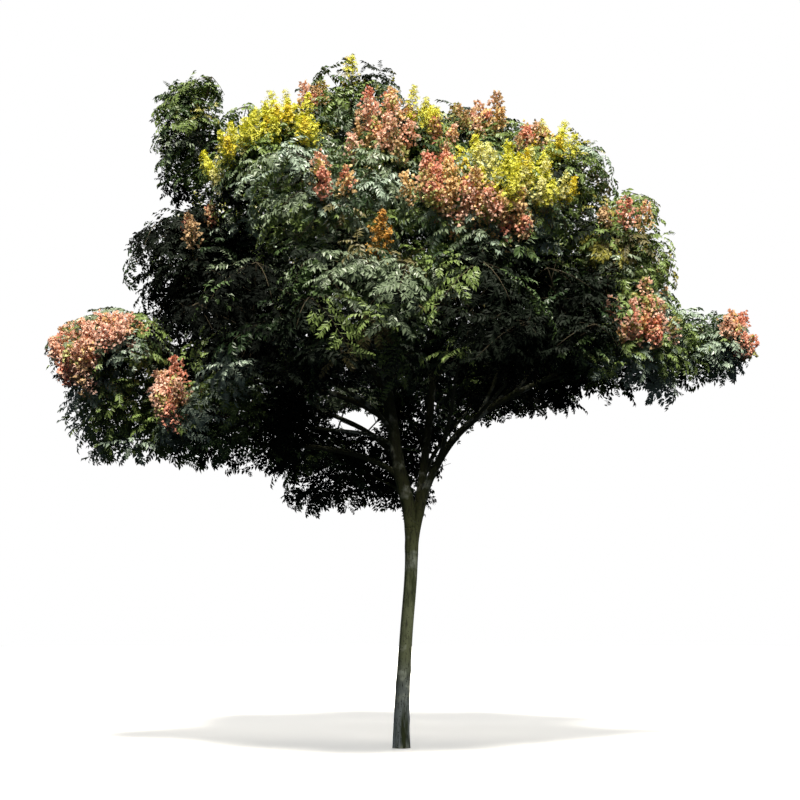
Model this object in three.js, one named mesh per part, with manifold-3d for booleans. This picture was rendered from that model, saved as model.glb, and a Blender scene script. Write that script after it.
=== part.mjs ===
// Golden rain tree in early autumn: a slender leaning trunk that forks above head height, three limbs,
// a bough to each part of the crown, and masses of foliage with golden panicles and papery red fruit.
// Millimetres, +Z up. The origin is the centre of the flat cut at ground level, and -Y is the front.

import * as THREE from "three";
import { mergeVertices } from "three/addons/utils/BufferGeometryUtils.js";
import Module from "manifold-3d";

const wasm = await Module();
wasm.setup();

// Trunk and limbs
const TRUNK_RADIUS = 76; // at its waist, half way up to the fork
const FLARE_RADIUS = 34; // what the root flare adds at ground level
const FLARE_HEIGHT = 620; // the flare fades by two thirds over this height
const FORK_SWELL = 12; // what the swelling under the fork adds
const FORK_HEIGHT = 2700; // the trunk ends here and the leader goes on from its top
const LIMB_TIP_RADIUS = 26;
const LIMB_TAPER = 0.7; // below 1 a limb keeps its thickness at first and tapers faster near its tip
const JOINT_GAP = 0.3; // air between two pieces that meet
const GROUND = 1000; // side of the block of ground that cuts the trunk flat
const TRUNK_FACES = { sides: 12, steps: 10 };
const LIMB_FACES = { sides: 8, steps: 9 };
const BOUGH_FACES = { sides: 5, steps: 4 };
const STEM_FACES = { sides: 4, steps: 2 };

// The leader goes on from the trunk. Its first points, from below the cut, are the trunk's own lean.
const LIMBS = {
  leader: {
    radius: 90,
    rises: FORK_HEIGHT,
    through: [
      [0, 0, -200],
      [8, 0, 450],
      [62, 0, 1350],
      [126, 0, 2200],
      [122, 10, 2800],
      [-20, 40, 3450],
      [-130, 90, 4150],
      [-280, 170, 5100],
      [-500, 300, 6200],
    ],
    feeds: "crest_peak",
  },
  right: {
    radius: 56,
    through: [
      [130, -5, 2380],
      [215, -30, 2800],
      [360, -70, 3300],
      [680, -120, 3830],
      [1150, -160, 4220],
      [1800, -200, 4560],
    ],
    feeds: "low_right",
  },
  middle: {
    radius: 58,
    through: [
      [135, 10, 2560],
      [230, 110, 3050],
      [330, 300, 3800],
      [430, 430, 4700],
      [620, 380, 5700],
    ],
    feeds: "crest_right",
  },
};

// Foliage masses: the middle and the half sizes of each one's space, the limb and the height that its
// bough leaves from, and the panicles that stand on its highest twigs. A limb's own tip carries a mass
// that has no bough.
const MASSES = [
  ["spire_left", [-2760, 860, 8100], [720, 780, 1230], "leader", 5350, {}],
  ["crest_left", [-1590, -640, 7060], [1140, 1190, 1290], "leader", 5050, { gold: 4 }],
  ["crest_peak", [-690, 460, 7950], [910, 1060, 1250], null, null, { fruit: 1, gold: 1 }],
  ["crest_middle", [40, -790, 6960], [1030, 1120, 1290], "leader", 5500, { fruit: 3 }],
  ["crest_right", [990, -270, 7140], [1090, 1120, 1180], null, null, { gold: 2, fruit: 2 }],
  ["crest_back", [410, 1200, 7730], [1360, 1190, 1140], "middle", 5250, { fruit: 2 }],
  ["shoulder_right", [1880, -460, 6810], [990, 1190, 1140], "right", 4080, { gold: 3 }],
  ["flank_right", [2650, -370, 6130], [1000, 1260, 1060], "right", 4350, { fruit: 1 }],
  ["low_right", [2820, -280, 5110], [1090, 1260, 1010], null, null, { fruit: 2 }],
  ["arm_right", [3890, 0, 4990], [800, 790, 760], "right", 4500, { fruit: 2 }],
  ["under_right", [1600, 700, 4800], [1330, 1190, 950], "right", 3920, {}],
  ["flank_left", [-2530, -180, 6030], [1110, 1260, 1060], "leader", 4800, { fruit: 1 }],
  ["arm_left", [-3560, -470, 4870], [1090, 1120, 860], "leader", 4020, { fruit: 4 }],
  ["arm_left_low", [-3250, 250, 4010], [1000, 1060, 830], "leader", 3350, {}],
  ["low_left", [-2030, -630, 4130], [1160, 1190, 1140], "leader", 3720, { fruit: 2 }],
  ["inner_left", [-950, 1100, 3850], [1290, 1120, 1320], "leader", 3080, {}],
  ["front_left", [-1590, -2000, 4860], [1230, 1190, 1060], "leader", 3880, {}],
  ["front_middle", [-460, -2600, 4880], [1240, 1190, 1000], "leader", 4350, {}],
  ["front_right", [770, -2380, 4930], [1250, 1190, 1060], "right", 3480, {}],
  ["front_far_right", [1870, -1700, 4980], [1160, 1190, 1060], "right", 4000, {}],
  ["brow_left", [-860, -1770, 6290], [1230, 1070, 1000], "leader", 4600, { gold: 1 }],
  ["brow_right", [950, -1680, 6330], [1290, 1070, 1000], "middle", 4900, { fruit: 2 }],
  ["back_left", [-2250, 1930, 6580], [1430, 1340, 1290], "leader", 4450, { gold: 2 }],
  ["back_middle", [-640, 2560, 6750], [1500, 1340, 1430], "middle", 4600, { fruit: 3 }],
  ["back_right", [1230, 2370, 6710], [1500, 1340, 1430], "middle", 4350, { gold: 3 }],
  ["back_far_right", [2520, 1510, 5980], [1360, 1260, 1290], "right", 4180, { fruit: 2 }],
  ["back_low_left", [-2290, 2110, 5060], [1430, 1260, 1110], "leader", 3560, {}],
  ["back_low_middle", [-460, 3080, 5200], [1500, 1260, 1180], "middle", 3620, { fruit: 1 }],
  ["back_low_right", [1280, 2800, 5060], [1500, 1260, 1110], "middle", 3300, { gold: 1 }],
].map(([name, at, size, limb, height, panicles]) => ({ name, at, size, limb, height, panicles }));

// Boughs: thicker the longer they are, and never as thick as the limb that they leave
const BOUGH_RADIUS = 17;
const BOUGH_THICKENING = 0.009; // radius for each millimetre of length
const BOUGH_LIMB_SHARE = 0.62;
const BOUGH_TIP_SHARE = 0.5;
const BOUGH_FOLLOWS = 0.7; // how strongly a bough keeps to its limb's direction where it leaves it
const BOUGH_HANDLES = [0.36, 0.3]; // reach of its curve's two handles, as shares of its length
const ENTRY_SHARE = 0.82; // a bough ends this share of the way from its mass's middle to the skin

// Twigs and leaves
const SEED = 41;
const GOLDEN_ANGLE = Math.PI * (3 - Math.sqrt(5));
const HEART = new THREE.Vector3(0, 0, 5200); // the crown grows out and away from here
const SKIN = 8; // a mass stays this far inside its space, so neighbours stay apart
const STEM_PAST_MIDDLE = 0.22; // a stem ends this share of the way from its mass's middle to the skin
const STEM_BEND_AT = 0.5;
const TWIG_SPACING = 232; // a mass has a twig for each such stretch of its mean radius
const TWIG_ROOTS = { first: 0.95, range: 0.5 }; // places along the stem, from its tip back
const TWIG_RISE = { first: 0.95, range: 1.6 }; // height of a twig's way on a unit ball, from the top down
const TWIG_REACH = { least: 0.54, range: 0.15 }; // a twig's tip, as a share of the way to the skin
const TWIG_TRIES = [1, 0.75, 0.5]; // shares of its reach that a twig is tried at
const TWIG_LIFT = 0.18; // how far the tips lie above the mass's middle, as a share of its half height
const TWIG_SIDES = 3;
const TWIG_RADIUS = 15;
const TWIG_TIP_RADIUS = 9;
const TWIG_BEND_AT = 0.6;
const TWIG_UPTURN = 0.2; // a twig's bend hangs this share of its length below its tip
const TWIG_LEAN = 0.5; // how far the axis of its leaves leans the way that the twig runs
const TWIG_UPRIGHT = { least: 0.6, range: 0.3 }; // and how far it turns up
const LEAVES_PER_TWIG = 5;
const LEAF_LENGTH = 1050; // one leaf stands for a spray of real ones
const LEAF_SHORTEST = 0.8; // of the longest leaf
const LEAF_HALF_WIDTH = 0.27; // of its length, where it is widest
const LEAF_WIDEST_AT = 0.45;
const LEAF_DROOP = { least: 0.36, range: 0.54 }; // how far a leaf hangs, in radians
const LEAF_SHOULDER_SAG = 0.6; // the share of its droop that a leaf has where it is widest
const LEAF_NOTCH = 0.1; // the cut between two leaves, as a share of their length
const LEAF_HALF_THICKNESS = 16; // at the hub where the leaves of a twig meet
const LEAF_TRIES = [1, 0.82, 0.64, 0.46]; // shares of its length that a leaf is tried at
const LEAF_CLEARANCE = 45; // from a leaf's midrib to the bark of a limb
const STRETCHES = 14; // straight stretches that stand for a limb when leaves are kept clear of it
const LEAF_JITTER = 0.08; // of the angle from one leaf to the next
const FEWEST_LEAVES = 2; // a twig that has room for fewer is left out
const PANICLE_SIDES = 4;
const PANICLE_LENGTH = 460;
const PANICLE_TRIES = [1, 0.8, 0.6];
const PANICLE_HALF_WIDTH = { gold: 120, fruit: 165 };
const PANICLE_TIERS = [
  { height: 0.08, width: 0.25 },
  { height: 0.3, width: 1 },
  { height: 0.45, width: 0.55 },
  { height: 0.68, width: 0.75 },
];

const COLOURS = { bark: 0x5b5644, foliage: 0x35522b };

// A repeatable stream of numbers from 0 to 1.
function seeded(seed) {
  let state = seed >>> 0;
  return () => {
    state = (state + 0x6d2b79f5) >>> 0;
    let mixed = Math.imul(state ^ (state >>> 15), state | 1);
    mixed ^= mixed + Math.imul(mixed ^ (mixed >>> 7), mixed | 61);
    return ((mixed ^ (mixed >>> 14)) >>> 0) / 4294967296;
  };
}

const X_AXIS = new THREE.Vector3(1, 0, 0);
const Y_AXIS = new THREE.Vector3(0, 1, 0);
const UP = new THREE.Vector3(0, 0, 1);
const vector = (place) => new THREE.Vector3(...place);

// A closed three.js geometry as a solid that can be joined and cut.
function solidOf(geometry) {
  geometry.deleteAttribute("normal");
  geometry.deleteAttribute("uv");
  const merged = mergeVertices(geometry, 1e-3);
  const mesh = new wasm.Mesh({
    numProp: 3,
    vertProperties: merged.attributes.position.array,
    triVerts: new Uint32Array(merged.index.array),
  });
  return new wasm.Manifold(mesh);
}

// The largest body of a solid as a geometry. Loose scraps and sealed hollows are left out.
function geometryOf(solid) {
  const bodies = solid.decompose();
  const largest = bodies.reduce((a, b) => (a.volume() > b.volume() ? a : b));
  const mesh = largest.getMesh();
  const geometry = new THREE.BufferGeometry();
  geometry.setAttribute("position", new THREE.BufferAttribute(mesh.vertProperties, 3));
  geometry.setIndex(new THREE.BufferAttribute(mesh.triVerts, 1));
  return geometry;
}

// Two directions square to an axis, the second as near to a guide as it can be.
function crossAxes(axis, guide) {
  const across = guide.clone().addScaledVector(axis, -guide.dot(axis)).normalize();
  return [across.clone().cross(axis), across];
}

// A round limb along a curve: a cylinder whose rings are moved onto the curve. Grown by an extra
// thickness all round, it cuts the seat of a piece that meets the limb.
function limbSolid({ curve, radiusAt, faces, start = 0, end = 1 }, extra = 0) {
  const geometry = new THREE.CylinderGeometry(1, 1, 1, faces.sides, faces.steps);
  const places = geometry.attributes.position;
  const chord = curve.getPoint(1).sub(curve.getPoint(0));
  const guide = Math.abs(chord.x) > Math.abs(chord.y) ? Y_AXIS : X_AXIS;
  const longer = extra / curve.getLength();
  const first = Math.max(0, start - longer);
  const last = Math.min(1, end + longer);
  for (let i = 0; i < places.count; i++) {
    const share = first + (last - first) * (places.getY(i) + 0.5);
    const [ahead, across] = crossAxes(curve.getTangentAt(share), guide);
    const radius = radiusAt(share) + extra;
    const place = curve.getPointAt(share);
    place.addScaledVector(ahead, radius * places.getX(i)).addScaledVector(across, -radius * places.getZ(i));
    places.setXYZ(i, place.x, place.y, place.z);
  }
  return solidOf(geometry);
}

// Where a limb stands at a height, as a share of its length.
function shareAtHeight(curve, height) {
  let low = 0;
  let high = 1;
  for (let i = 0; i < 24; i++) {
    const middle = (low + high) / 2;
    if (curve.getPointAt(middle).z < height) low = middle;
    else high = middle;
  }
  return low;
}

// Where the straight way from a place to a mass's middle comes within a share of the mass's skin.
function entryPoint(mass, from, share) {
  const away = from.clone().sub(mass.centre);
  const depth = away.clone().divide(mass.half).length();
  return mass.centre.clone().addScaledVector(away, share / depth);
}

// Limbs and boughs

// The three limbs: smooth curves through their points to the mass that each feeds.
function makeLimb({ radius, rises, through, feeds }) {
  const mass = massNamed[feeds];
  const points = through.map(vector);
  points.push(entryPoint(mass, points.at(-1), ENTRY_SHARE));
  const curve = new THREE.CatmullRomCurve3(points, false, "centripetal");
  curve.arcLengthDivisions = 800;
  const start = rises ? shareAtHeight(curve, rises) : 0;
  const radiusAt = (share) => {
    const left = Math.min(1, (1 - share) / (1 - start));
    return LIMB_TIP_RADIUS + (radius - LIMB_TIP_RADIUS) * left ** LIMB_TAPER;
  };
  return { curve, radiusAt, start, mass, faces: LIMB_FACES };
}

// The trunk is the foot of the leader's curve, with its root flare and the swelling under the fork.
function makeTrunk({ curve, start }) {
  const radiusAt = (share) => {
    const height = Math.max(0, curve.getPointAt(share).z);
    const flare = FLARE_RADIUS * Math.exp(-height / FLARE_HEIGHT);
    const swell = FORK_SWELL * (height / FORK_HEIGHT) ** 6;
    return TRUNK_RADIUS + flare + swell;
  };
  return { curve, radiusAt, end: start, faces: TRUNK_FACES };
}

// A bough leaves its limb at a sharp angle and bends over towards the mass that it carries.
function makeBough(mass, limb) {
  const along = shareAtHeight(limb.curve, mass.height);
  const root = limb.curve.getPointAt(along);
  const tip = entryPoint(mass, root, ENTRY_SHARE);
  const way = tip.clone().sub(root);
  const length = way.length();
  const first = limb.curve.getTangentAt(along).multiplyScalar(BOUGH_FOLLOWS);
  first.addScaledVector(way, 1 / length).normalize();
  const last = mass.centre.clone().sub(tip).normalize();
  const curve = new THREE.CubicBezierCurve3(
    root,
    root.clone().addScaledVector(first, BOUGH_HANDLES[0] * length),
    tip.clone().addScaledVector(last, -BOUGH_HANDLES[1] * length),
    tip,
  );
  const thickest = BOUGH_LIMB_SHARE * limb.radiusAt(along);
  const radius = Math.min(thickest, BOUGH_RADIUS + BOUGH_THICKENING * length);
  const radiusAt = (share) => radius * (1 - (1 - BOUGH_TIP_SHARE) * share);
  return { curve, radiusAt, mass, limb, faces: BOUGH_FACES };
}

// A limb as straight stretches, each with its thickest radius, to keep leaves clear of it.
function stretchesOf({ curve, radiusAt, start = 0, end = 1 }) {
  const stretches = [];
  const step = (end - start) / STRETCHES;
  for (let i = 0; i < STRETCHES; i++) {
    const from = start + i * step;
    const to = from + step;
    const line = new THREE.Line3(curve.getPointAt(from), curve.getPointAt(to));
    stretches.push({ line, radius: radiusAt(from) });
  }
  return stretches;
}

// Foliage

// True where a place lies in a mass's space: inside its ellipsoid, and nearer to it than to its neighbours.
function inSpace(mass, place) {
  const off = place.clone().sub(mass.centre);
  if (off.clone().divide(mass.inner).lengthSq() > 1) return false;
  return mass.borders.every(({ towards, distance }) => off.dot(towards) < distance - SKIN);
}

// True where a straight line keeps a clearance from the bark of every limb.
function clearOfLimbs(from, to, clearance) {
  const line = new THREE.Line3(from, to);
  return barkStretches.every((bark) => line.distanceSqToLine3(bark.line) > (bark.radius + clearance) ** 2);
}

// The stem goes on from the tip of the bough, past the middle of the mass and away from the crown's heart.
function makeStem(mass, bough) {
  const first = bough.curve.getTangentAt(1);
  const start = bough.curve.getPointAt(1).addScaledVector(first, JOINT_GAP);
  const away = mass.centre.clone().sub(HEART).normalize();
  const end = away.multiply(mass.half).multiplyScalar(STEM_PAST_MIDDLE).add(mass.centre);
  const bend = start.clone().addScaledVector(first, STEM_BEND_AT * start.distanceTo(end));
  const tipRadius = bough.radiusAt(1);
  const radiusAt = (share) => tipRadius + (TWIG_RADIUS - tipRadius) * share;
  return { curve: new THREE.QuadraticBezierCurve3(start, bend, end), radiusAt, faces: STEM_FACES };
}

// The twigs of a mass reach for places spread evenly round its middle, from the top down, and turn up
// at their tips.
function makeTwigs(mass, stem, random) {
  const count = Math.round(mass.radius / TWIG_SPACING);
  const phase = random() * 2 * Math.PI;
  const middle = mass.centre.clone().addScaledVector(UP, TWIG_LIFT * mass.half.z);
  const twigs = [];
  for (let i = 0; i < count; i++) {
    const turn = phase + i * GOLDEN_ANGLE;
    const share = (i + 0.5) / count;
    const rise = TWIG_RISE.first - TWIG_RISE.range * share;
    const flat = Math.sqrt(1 - rise * rise);
    const way = new THREE.Vector3(flat * Math.cos(turn), flat * Math.sin(turn), rise).multiply(mass.half);
    const reach = TWIG_REACH.least + TWIG_REACH.range * random();
    const upright = TWIG_UPRIGHT.least + TWIG_UPRIGHT.range * random();
    const leafPhase = random() * 2 * Math.PI;
    const tip = TWIG_TRIES.map((part) => middle.clone().addScaledVector(way, part * reach)).find((place) =>
      inSpace(mass, place),
    );
    if (!tip) continue;
    const root = stem.curve.getPointAt(TWIG_ROOTS.first - TWIG_ROOTS.range * share);
    const bend = root.clone().lerp(tip, TWIG_BEND_AT);
    bend.z = Math.min(bend.z, tip.z - TWIG_UPTURN * root.distanceTo(tip));
    if (!clearOfLimbs(root, bend, LEAF_CLEARANCE) || !clearOfLimbs(bend, tip, LEAF_CLEARANCE)) continue;
    const curve = new THREE.QuadraticBezierCurve3(root, bend, tip);
    const run = tip.clone().sub(root).normalize();
    const axis = run.clone().multiplyScalar(TWIG_LEAN).addScaledVector(UP, upright).normalize();
    const side = UP.clone().cross(run).normalize();
    twigs.push({ curve, root, bend, tip, axis, side, leafPhase });
  }
  return twigs;
}

// A place near a twig's tip: so far out from its axis at an angle, and so far down it.
function cornerAt({ tip, axis, side }, turn, out, drop) {
  const [ahead, across] = crossAxes(axis, side);
  const place = tip.clone().addScaledVector(axis, -drop);
  place.addScaledVector(ahead, out * Math.cos(turn)).addScaledVector(across, out * Math.sin(turn));
  return { turn, place };
}

// One leaf, from the twig's tip by its widest place to its own tip. It droops from square to the twig's
// axis, more and more towards its tip.
function leafAt(twig, turn, droop, length) {
  const spread = Math.atan2(LEAF_HALF_WIDTH, LEAF_WIDEST_AT);
  const shoulder = length * Math.hypot(LEAF_HALF_WIDTH, LEAF_WIDEST_AT);
  const sag = LEAF_SHOULDER_SAG * droop;
  const corners = [
    cornerAt(twig, turn - spread, shoulder * Math.cos(sag), shoulder * Math.sin(sag)),
    cornerAt(twig, turn, length * Math.cos(droop), length * Math.sin(droop)),
    cornerAt(twig, turn + spread, shoulder * Math.cos(sag), shoulder * Math.sin(sag)),
  ];
  return { hub: twig.tip, corners };
}

// True where a leaf's blade is cut by one of some lines.
function isCut({ hub, corners }, lines) {
  const [left, tip, right] = corners.map((corner) => corner.place);
  const ray = new THREE.Ray();
  const cut = new THREE.Vector3();
  return lines.some(([from, to]) => {
    const reach = from.distanceTo(to);
    ray.origin.copy(from);
    ray.direction.copy(to).sub(from).divideScalar(reach);
    const meets = (side) => ray.intersectTriangle(hub, side, tip, false, cut) && cut.distanceTo(from) < reach;
    return meets(left) || meets(right);
  });
}

// A leaf's edges and midrib.
function linesOf({ hub, corners }) {
  const [left, tip, right] = corners.map((corner) => corner.place);
  return [
    [hub, left],
    [left, tip],
    [tip, right],
    [right, hub],
    [hub, tip],
  ];
}

// The leaves round a twig's tip: each keeps to the mass's space and clear of limbs, other twigs and the
// leaves that stand on those, shorter where it must. One that fits at no length is left out.
function makeLeaves(mass, twig, twigLines, grown, random) {
  const fits = (leaf) => {
    const places = leaf.corners.map((corner) => corner.place);
    return (
      places.every((place) => inSpace(mass, place)) &&
      places.every((place) => clearOfLimbs(twig.tip, place, LEAF_CLEARANCE)) &&
      !isCut(leaf, barkLines) &&
      !isCut(leaf, twigLines) &&
      !grown.some((other) => isCut(leaf, linesOf(other)) || isCut(other, linesOf(leaf)))
    );
  };
  const leaves = [];
  for (let i = 0; i < LEAVES_PER_TWIG; i++) {
    const step = i + LEAF_JITTER * (random() - 0.5);
    const turn = twig.leafPhase + (step * 2 * Math.PI) / LEAVES_PER_TWIG;
    const length = LEAF_LENGTH * (LEAF_SHORTEST + (1 - LEAF_SHORTEST) * random());
    const droop = LEAF_DROOP.least + LEAF_DROOP.range * random();
    const leaf = LEAF_TRIES.map((share) => leafAt(twig, turn, droop, share * length)).find(fits);
    if (leaf) leaves.push(leaf);
  }
  return leaves;
}

// A panicle stands on a twig's tip, more upright than the twig, as long as there is room for.
function makePanicle(mass, twig, kind) {
  const up = twig.axis.clone().add(UP).normalize();
  const length = PANICLE_TRIES.map((share) => share * PANICLE_LENGTH).find((tall) => {
    const top = twig.tip.clone().addScaledVector(up, tall);
    return inSpace(mass, top) && clearOfLimbs(twig.tip, top, PANICLE_HALF_WIDTH[kind]);
  });
  return length ? { up, length, halfWidth: PANICLE_HALF_WIDTH[kind] } : null;
}

// Twigs as closed skins

// A ring of corners about an axis, in order of their turn from a guide.
function ringAt(centre, axis, guide, radius, sides) {
  const [ahead, across] = crossAxes(axis, guide);
  return Array.from({ length: sides }, (_, i) => {
    const turn = (2 * Math.PI * i) / sides;
    const place = centre.clone().addScaledVector(ahead, radius * Math.cos(turn));
    return { turn, place: place.addScaledVector(across, radius * Math.sin(turn)) };
  });
}

// The outline of the leaves round a twig's tip: out along each leaf and back to the notch between two.
function rimOf(twig) {
  const full = 2 * Math.PI;
  const notches = Array.from({ length: LEAVES_PER_TWIG }, (_, i) => {
    const turn = twig.leafPhase + ((i + 0.5) * full) / LEAVES_PER_TWIG;
    return cornerAt(twig, turn, LEAF_NOTCH * LEAF_LENGTH, 0);
  });
  return [...notches, ...twig.leaves.flatMap((leaf) => leaf.corners)]
    .map(({ turn, place }) => ({ turn: ((turn % full) + full) % full, place }))
    .sort((a, b) => a.turn - b.turn);
}

// The faces between two rings, zipped together in order of turn. A ring of one corner closes to a point.
function bridge(lower, upper) {
  const turnAfter = (ring, i) => {
    if (ring.length === 1 || i === ring.length) return Infinity;
    return i + 1 < ring.length ? ring[i + 1].turn : ring[0].turn + 2 * Math.PI;
  };
  const corners = [];
  let i = 0;
  let j = 0;
  while (turnAfter(lower, i) < Infinity || turnAfter(upper, j) < Infinity) {
    const onLower = turnAfter(lower, i) <= turnAfter(upper, j);
    const near = lower[i % lower.length];
    const far = upper[j % upper.length];
    if (onLower) i += 1;
    else j += 1;
    const next = onLower ? lower[i % lower.length] : upper[j % upper.length];
    corners.push(near.place, next.place, far.place);
  }
  return corners;
}

// The tiers of a panicle, wide and narrow by turns.
function panicleRings({ tip, side, panicle }) {
  return PANICLE_TIERS.map(({ height, width }) => {
    const centre = tip.clone().addScaledVector(panicle.up, height * panicle.length);
    return ringAt(centre, panicle.up, side, width * panicle.halfWidth, PANICLE_SIDES);
  });
}

// A twig with its leaves and its panicle as one skin, ring by ring from the root to the topmost point.
function twigSolid(twig) {
  const { curve, root, tip, axis, side, panicle } = twig;
  const point = (place) => [{ turn: 0, place }];
  const collar = (share) => {
    const radius = TWIG_RADIUS + (TWIG_TIP_RADIUS - TWIG_RADIUS) * share;
    return ringAt(curve.getPointAt(share), curve.getTangentAt(share), side, radius, TWIG_SIDES);
  };
  const under = tip.clone().addScaledVector(axis, -LEAF_HALF_THICKNESS);
  const over = tip.clone().addScaledVector(axis, LEAF_HALF_THICKNESS);
  const rings = [
    point(root),
    collar(0),
    collar(0.5),
    ringAt(under, axis, side, TWIG_TIP_RADIUS, TWIG_SIDES),
    rimOf(twig),
    ...(panicle ? panicleRings(twig) : []),
    point(panicle ? tip.clone().addScaledVector(panicle.up, panicle.length) : over),
  ];
  const corners = rings.slice(1).flatMap((ring, i) => bridge(rings[i], ring));
  return solidOf(new THREE.BufferGeometry().setFromPoints(corners));
}

// A mass of foliage: its stem, the twigs with their leaves, and panicles on the highest twigs.
function massSolid(mass, bough) {
  const random = seeded(SEED + mass.index);
  const stem = makeStem(mass, bough);
  const linesAlong = ({ root, bend, tip }) => [
    [root, bend],
    [bend, tip],
  ];
  const twigs = makeTwigs(mass, stem, random);
  const grown = [];
  for (const twig of twigs) {
    const others = twigs.filter((other) => other !== twig).flatMap(linesAlong);
    const stemLine = [stem.curve.getPointAt(0), stem.curve.getPointAt(1)];
    twig.leaves = makeLeaves(mass, twig, [...others, stemLine], grown, random);
    grown.push(...twig.leaves);
  }
  const kept = twigs.filter((twig) => twig.leaves.length >= FEWEST_LEAVES);
  const kinds = Object.entries(mass.panicles).flatMap(([kind, count]) => Array(count).fill(kind));
  for (const twig of kept.toSorted((a, b) => b.tip.z - a.tip.z)) {
    twig.panicle = kinds.length ? makePanicle(mass, twig, kinds[0]) : null;
    if (twig.panicle) kinds.shift();
  }
  return kept.reduce((solid, twig) => solid.add(twigSolid(twig)), limbSolid(stem));
}

// Each mass's space: its ellipsoid, and the borders that it shares with its neighbours.
MASSES.forEach((mass, index) => {
  mass.index = index;
  mass.centre = vector(mass.at);
  mass.half = vector(mass.size);
  mass.inner = mass.half.clone().subScalar(SKIN);
  mass.radius = (mass.size[0] + mass.size[1] + mass.size[2]) / 3;
});
for (const mass of MASSES) {
  mass.borders = MASSES.filter((other) => other !== mass).map((other) => {
    const towards = other.centre.clone().sub(mass.centre);
    const apart = towards.length();
    const distance = (apart ** 2 + mass.radius ** 2 - other.radius ** 2) / (2 * apart);
    return { towards: towards.normalize(), distance };
  });
}
const massNamed = Object.fromEntries(MASSES.map((mass) => [mass.name, mass]));

const limbs = Object.fromEntries(Object.entries(LIMBS).map(([name, limb]) => [name, makeLimb(limb)]));
const trunk = makeTrunk(limbs.leader);
limbs.leader.start += JOINT_GAP / limbs.leader.curve.getLength();
const boughs = MASSES.filter((mass) => mass.limb).map((mass) => makeBough(mass, limbs[mass.limb]));
const barkStretches = [trunk, ...Object.values(limbs), ...boughs].flatMap((limb) => stretchesOf(limb));
const barkLines = barkStretches.map(({ line }) => [line.start, line.end]);

// The scene graph
const tree = new THREE.Group();
const bark = new THREE.MeshStandardMaterial({ color: COLOURS.bark, roughness: 0.9, metalness: 0 });
const foliage = new THREE.MeshStandardMaterial({ color: COLOURS.foliage, roughness: 0.6, metalness: 0 });

function addNode(name, solid, material) {
  const mesh = new THREE.Mesh(geometryOf(solid), material);
  mesh.name = name;
  tree.add(mesh);
}

const belowGround = solidOf(new THREE.BoxGeometry(GROUND, GROUND, GROUND).translate(0, 0, -GROUND / 2));
addNode("trunk", limbSolid(trunk).subtract(belowGround), bark);

let forkCutter = limbSolid(trunk, JOINT_GAP);
const limbCutters = new Map();
for (const [name, limb] of Object.entries(limbs)) {
  addNode(`limb_${name}`, limbSolid(limb).subtract(forkCutter), bark);
  limbCutters.set(limb, limbSolid(limb, JOINT_GAP));
  forkCutter = forkCutter.add(limbCutters.get(limb));
}
for (const bough of boughs) {
  addNode(`bough_${bough.mass.name}`, limbSolid(bough).subtract(limbCutters.get(bough.limb)), bark);
}
for (const bough of [...Object.values(limbs), ...boughs]) {
  addNode(`foliage_${bough.mass.name}`, massSolid(bough.mass, bough), foliage);
}

export default tree;
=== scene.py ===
"""Golden rain tree in early autumn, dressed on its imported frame.

Bark with relief stands for the trunk, limbs and boughs. Stems, twigs, compound leaves, golden panicles and
papery fruit stand for the foliage masses. They grow by the rule of the solids, carried on to finer twigs.
Sizes are in millimetres, and the meshes are made in metres.
"""

from __future__ import annotations

import logging
import math
from collections.abc import Callable, Iterable, Sequence
from dataclasses import dataclass, field
from enum import Enum

import bpy
import numpy as np
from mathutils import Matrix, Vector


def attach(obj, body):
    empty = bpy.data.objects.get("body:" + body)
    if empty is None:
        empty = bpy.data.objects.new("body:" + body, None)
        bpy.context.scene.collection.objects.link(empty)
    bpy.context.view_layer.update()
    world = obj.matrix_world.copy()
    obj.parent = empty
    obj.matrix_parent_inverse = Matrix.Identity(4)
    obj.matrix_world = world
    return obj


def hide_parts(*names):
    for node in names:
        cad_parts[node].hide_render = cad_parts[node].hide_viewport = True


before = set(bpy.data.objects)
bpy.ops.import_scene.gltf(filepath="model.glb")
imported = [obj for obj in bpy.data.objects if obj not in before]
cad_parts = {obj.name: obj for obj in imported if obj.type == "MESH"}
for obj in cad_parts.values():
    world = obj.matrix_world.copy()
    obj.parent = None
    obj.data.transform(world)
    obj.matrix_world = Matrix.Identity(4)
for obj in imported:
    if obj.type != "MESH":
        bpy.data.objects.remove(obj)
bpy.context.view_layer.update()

MM = 0.001
Array = np.ndarray
UP = np.array((0.0, 0.0, 1.0))
EYE = (-13.0, -18000.0, 1600.0)  # where the photograph was taken from
GOLDEN_ANGLE = math.pi * (3 - math.sqrt(5))
FULL_TURN = 2 * math.pi
SMALLEST = 1e-9  # keeps a division from meeting 0
WORD = 0xFFFFFFFF  # keeps a whole number to 32 bits
MOST_TRIANGLES = 190_000  # a piece of leaves that holds more takes no further spray
log = logging.getLogger("golden_rain_tree")


# Helpers


def linear(code: str) -> tuple[float, float, float, float]:
    """Turns an sRGB hex value into linear light.

    Args:
        code: The colour as #rrggbb.

    Returns:
        Red, green, blue and a full alpha.
    """
    parts = [int(code[i : i + 2], 16) / 255 for i in (1, 3, 5)]
    red, green, blue = [p / 12.92 if p <= 0.04045 else ((p + 0.055) / 1.055) ** 2.4 for p in parts]
    return red, green, blue, 1.0


def add_node(
    tree: bpy.types.NodeTree, kind: str, inputs: dict[str | int, object] | None = None, **settings: object
) -> bpy.types.Node:
    """Adds a node with its settings and links.

    Args:
        tree: The node tree that takes the node.
        kind: The node's type name.
        inputs: A value for each named or numbered input, or the socket that it is linked to.
        **settings: The node's own settings.

    Returns:
        The new node.
    """
    made = tree.nodes.new(kind)
    for name, value in settings.items():
        setattr(made, name, value)
    for name, value in (inputs or {}).items():
        if isinstance(value, bpy.types.NodeSocket):
            tree.links.new(value, made.inputs[name])
        else:
            made.inputs[name].default_value = value
    return made


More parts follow.
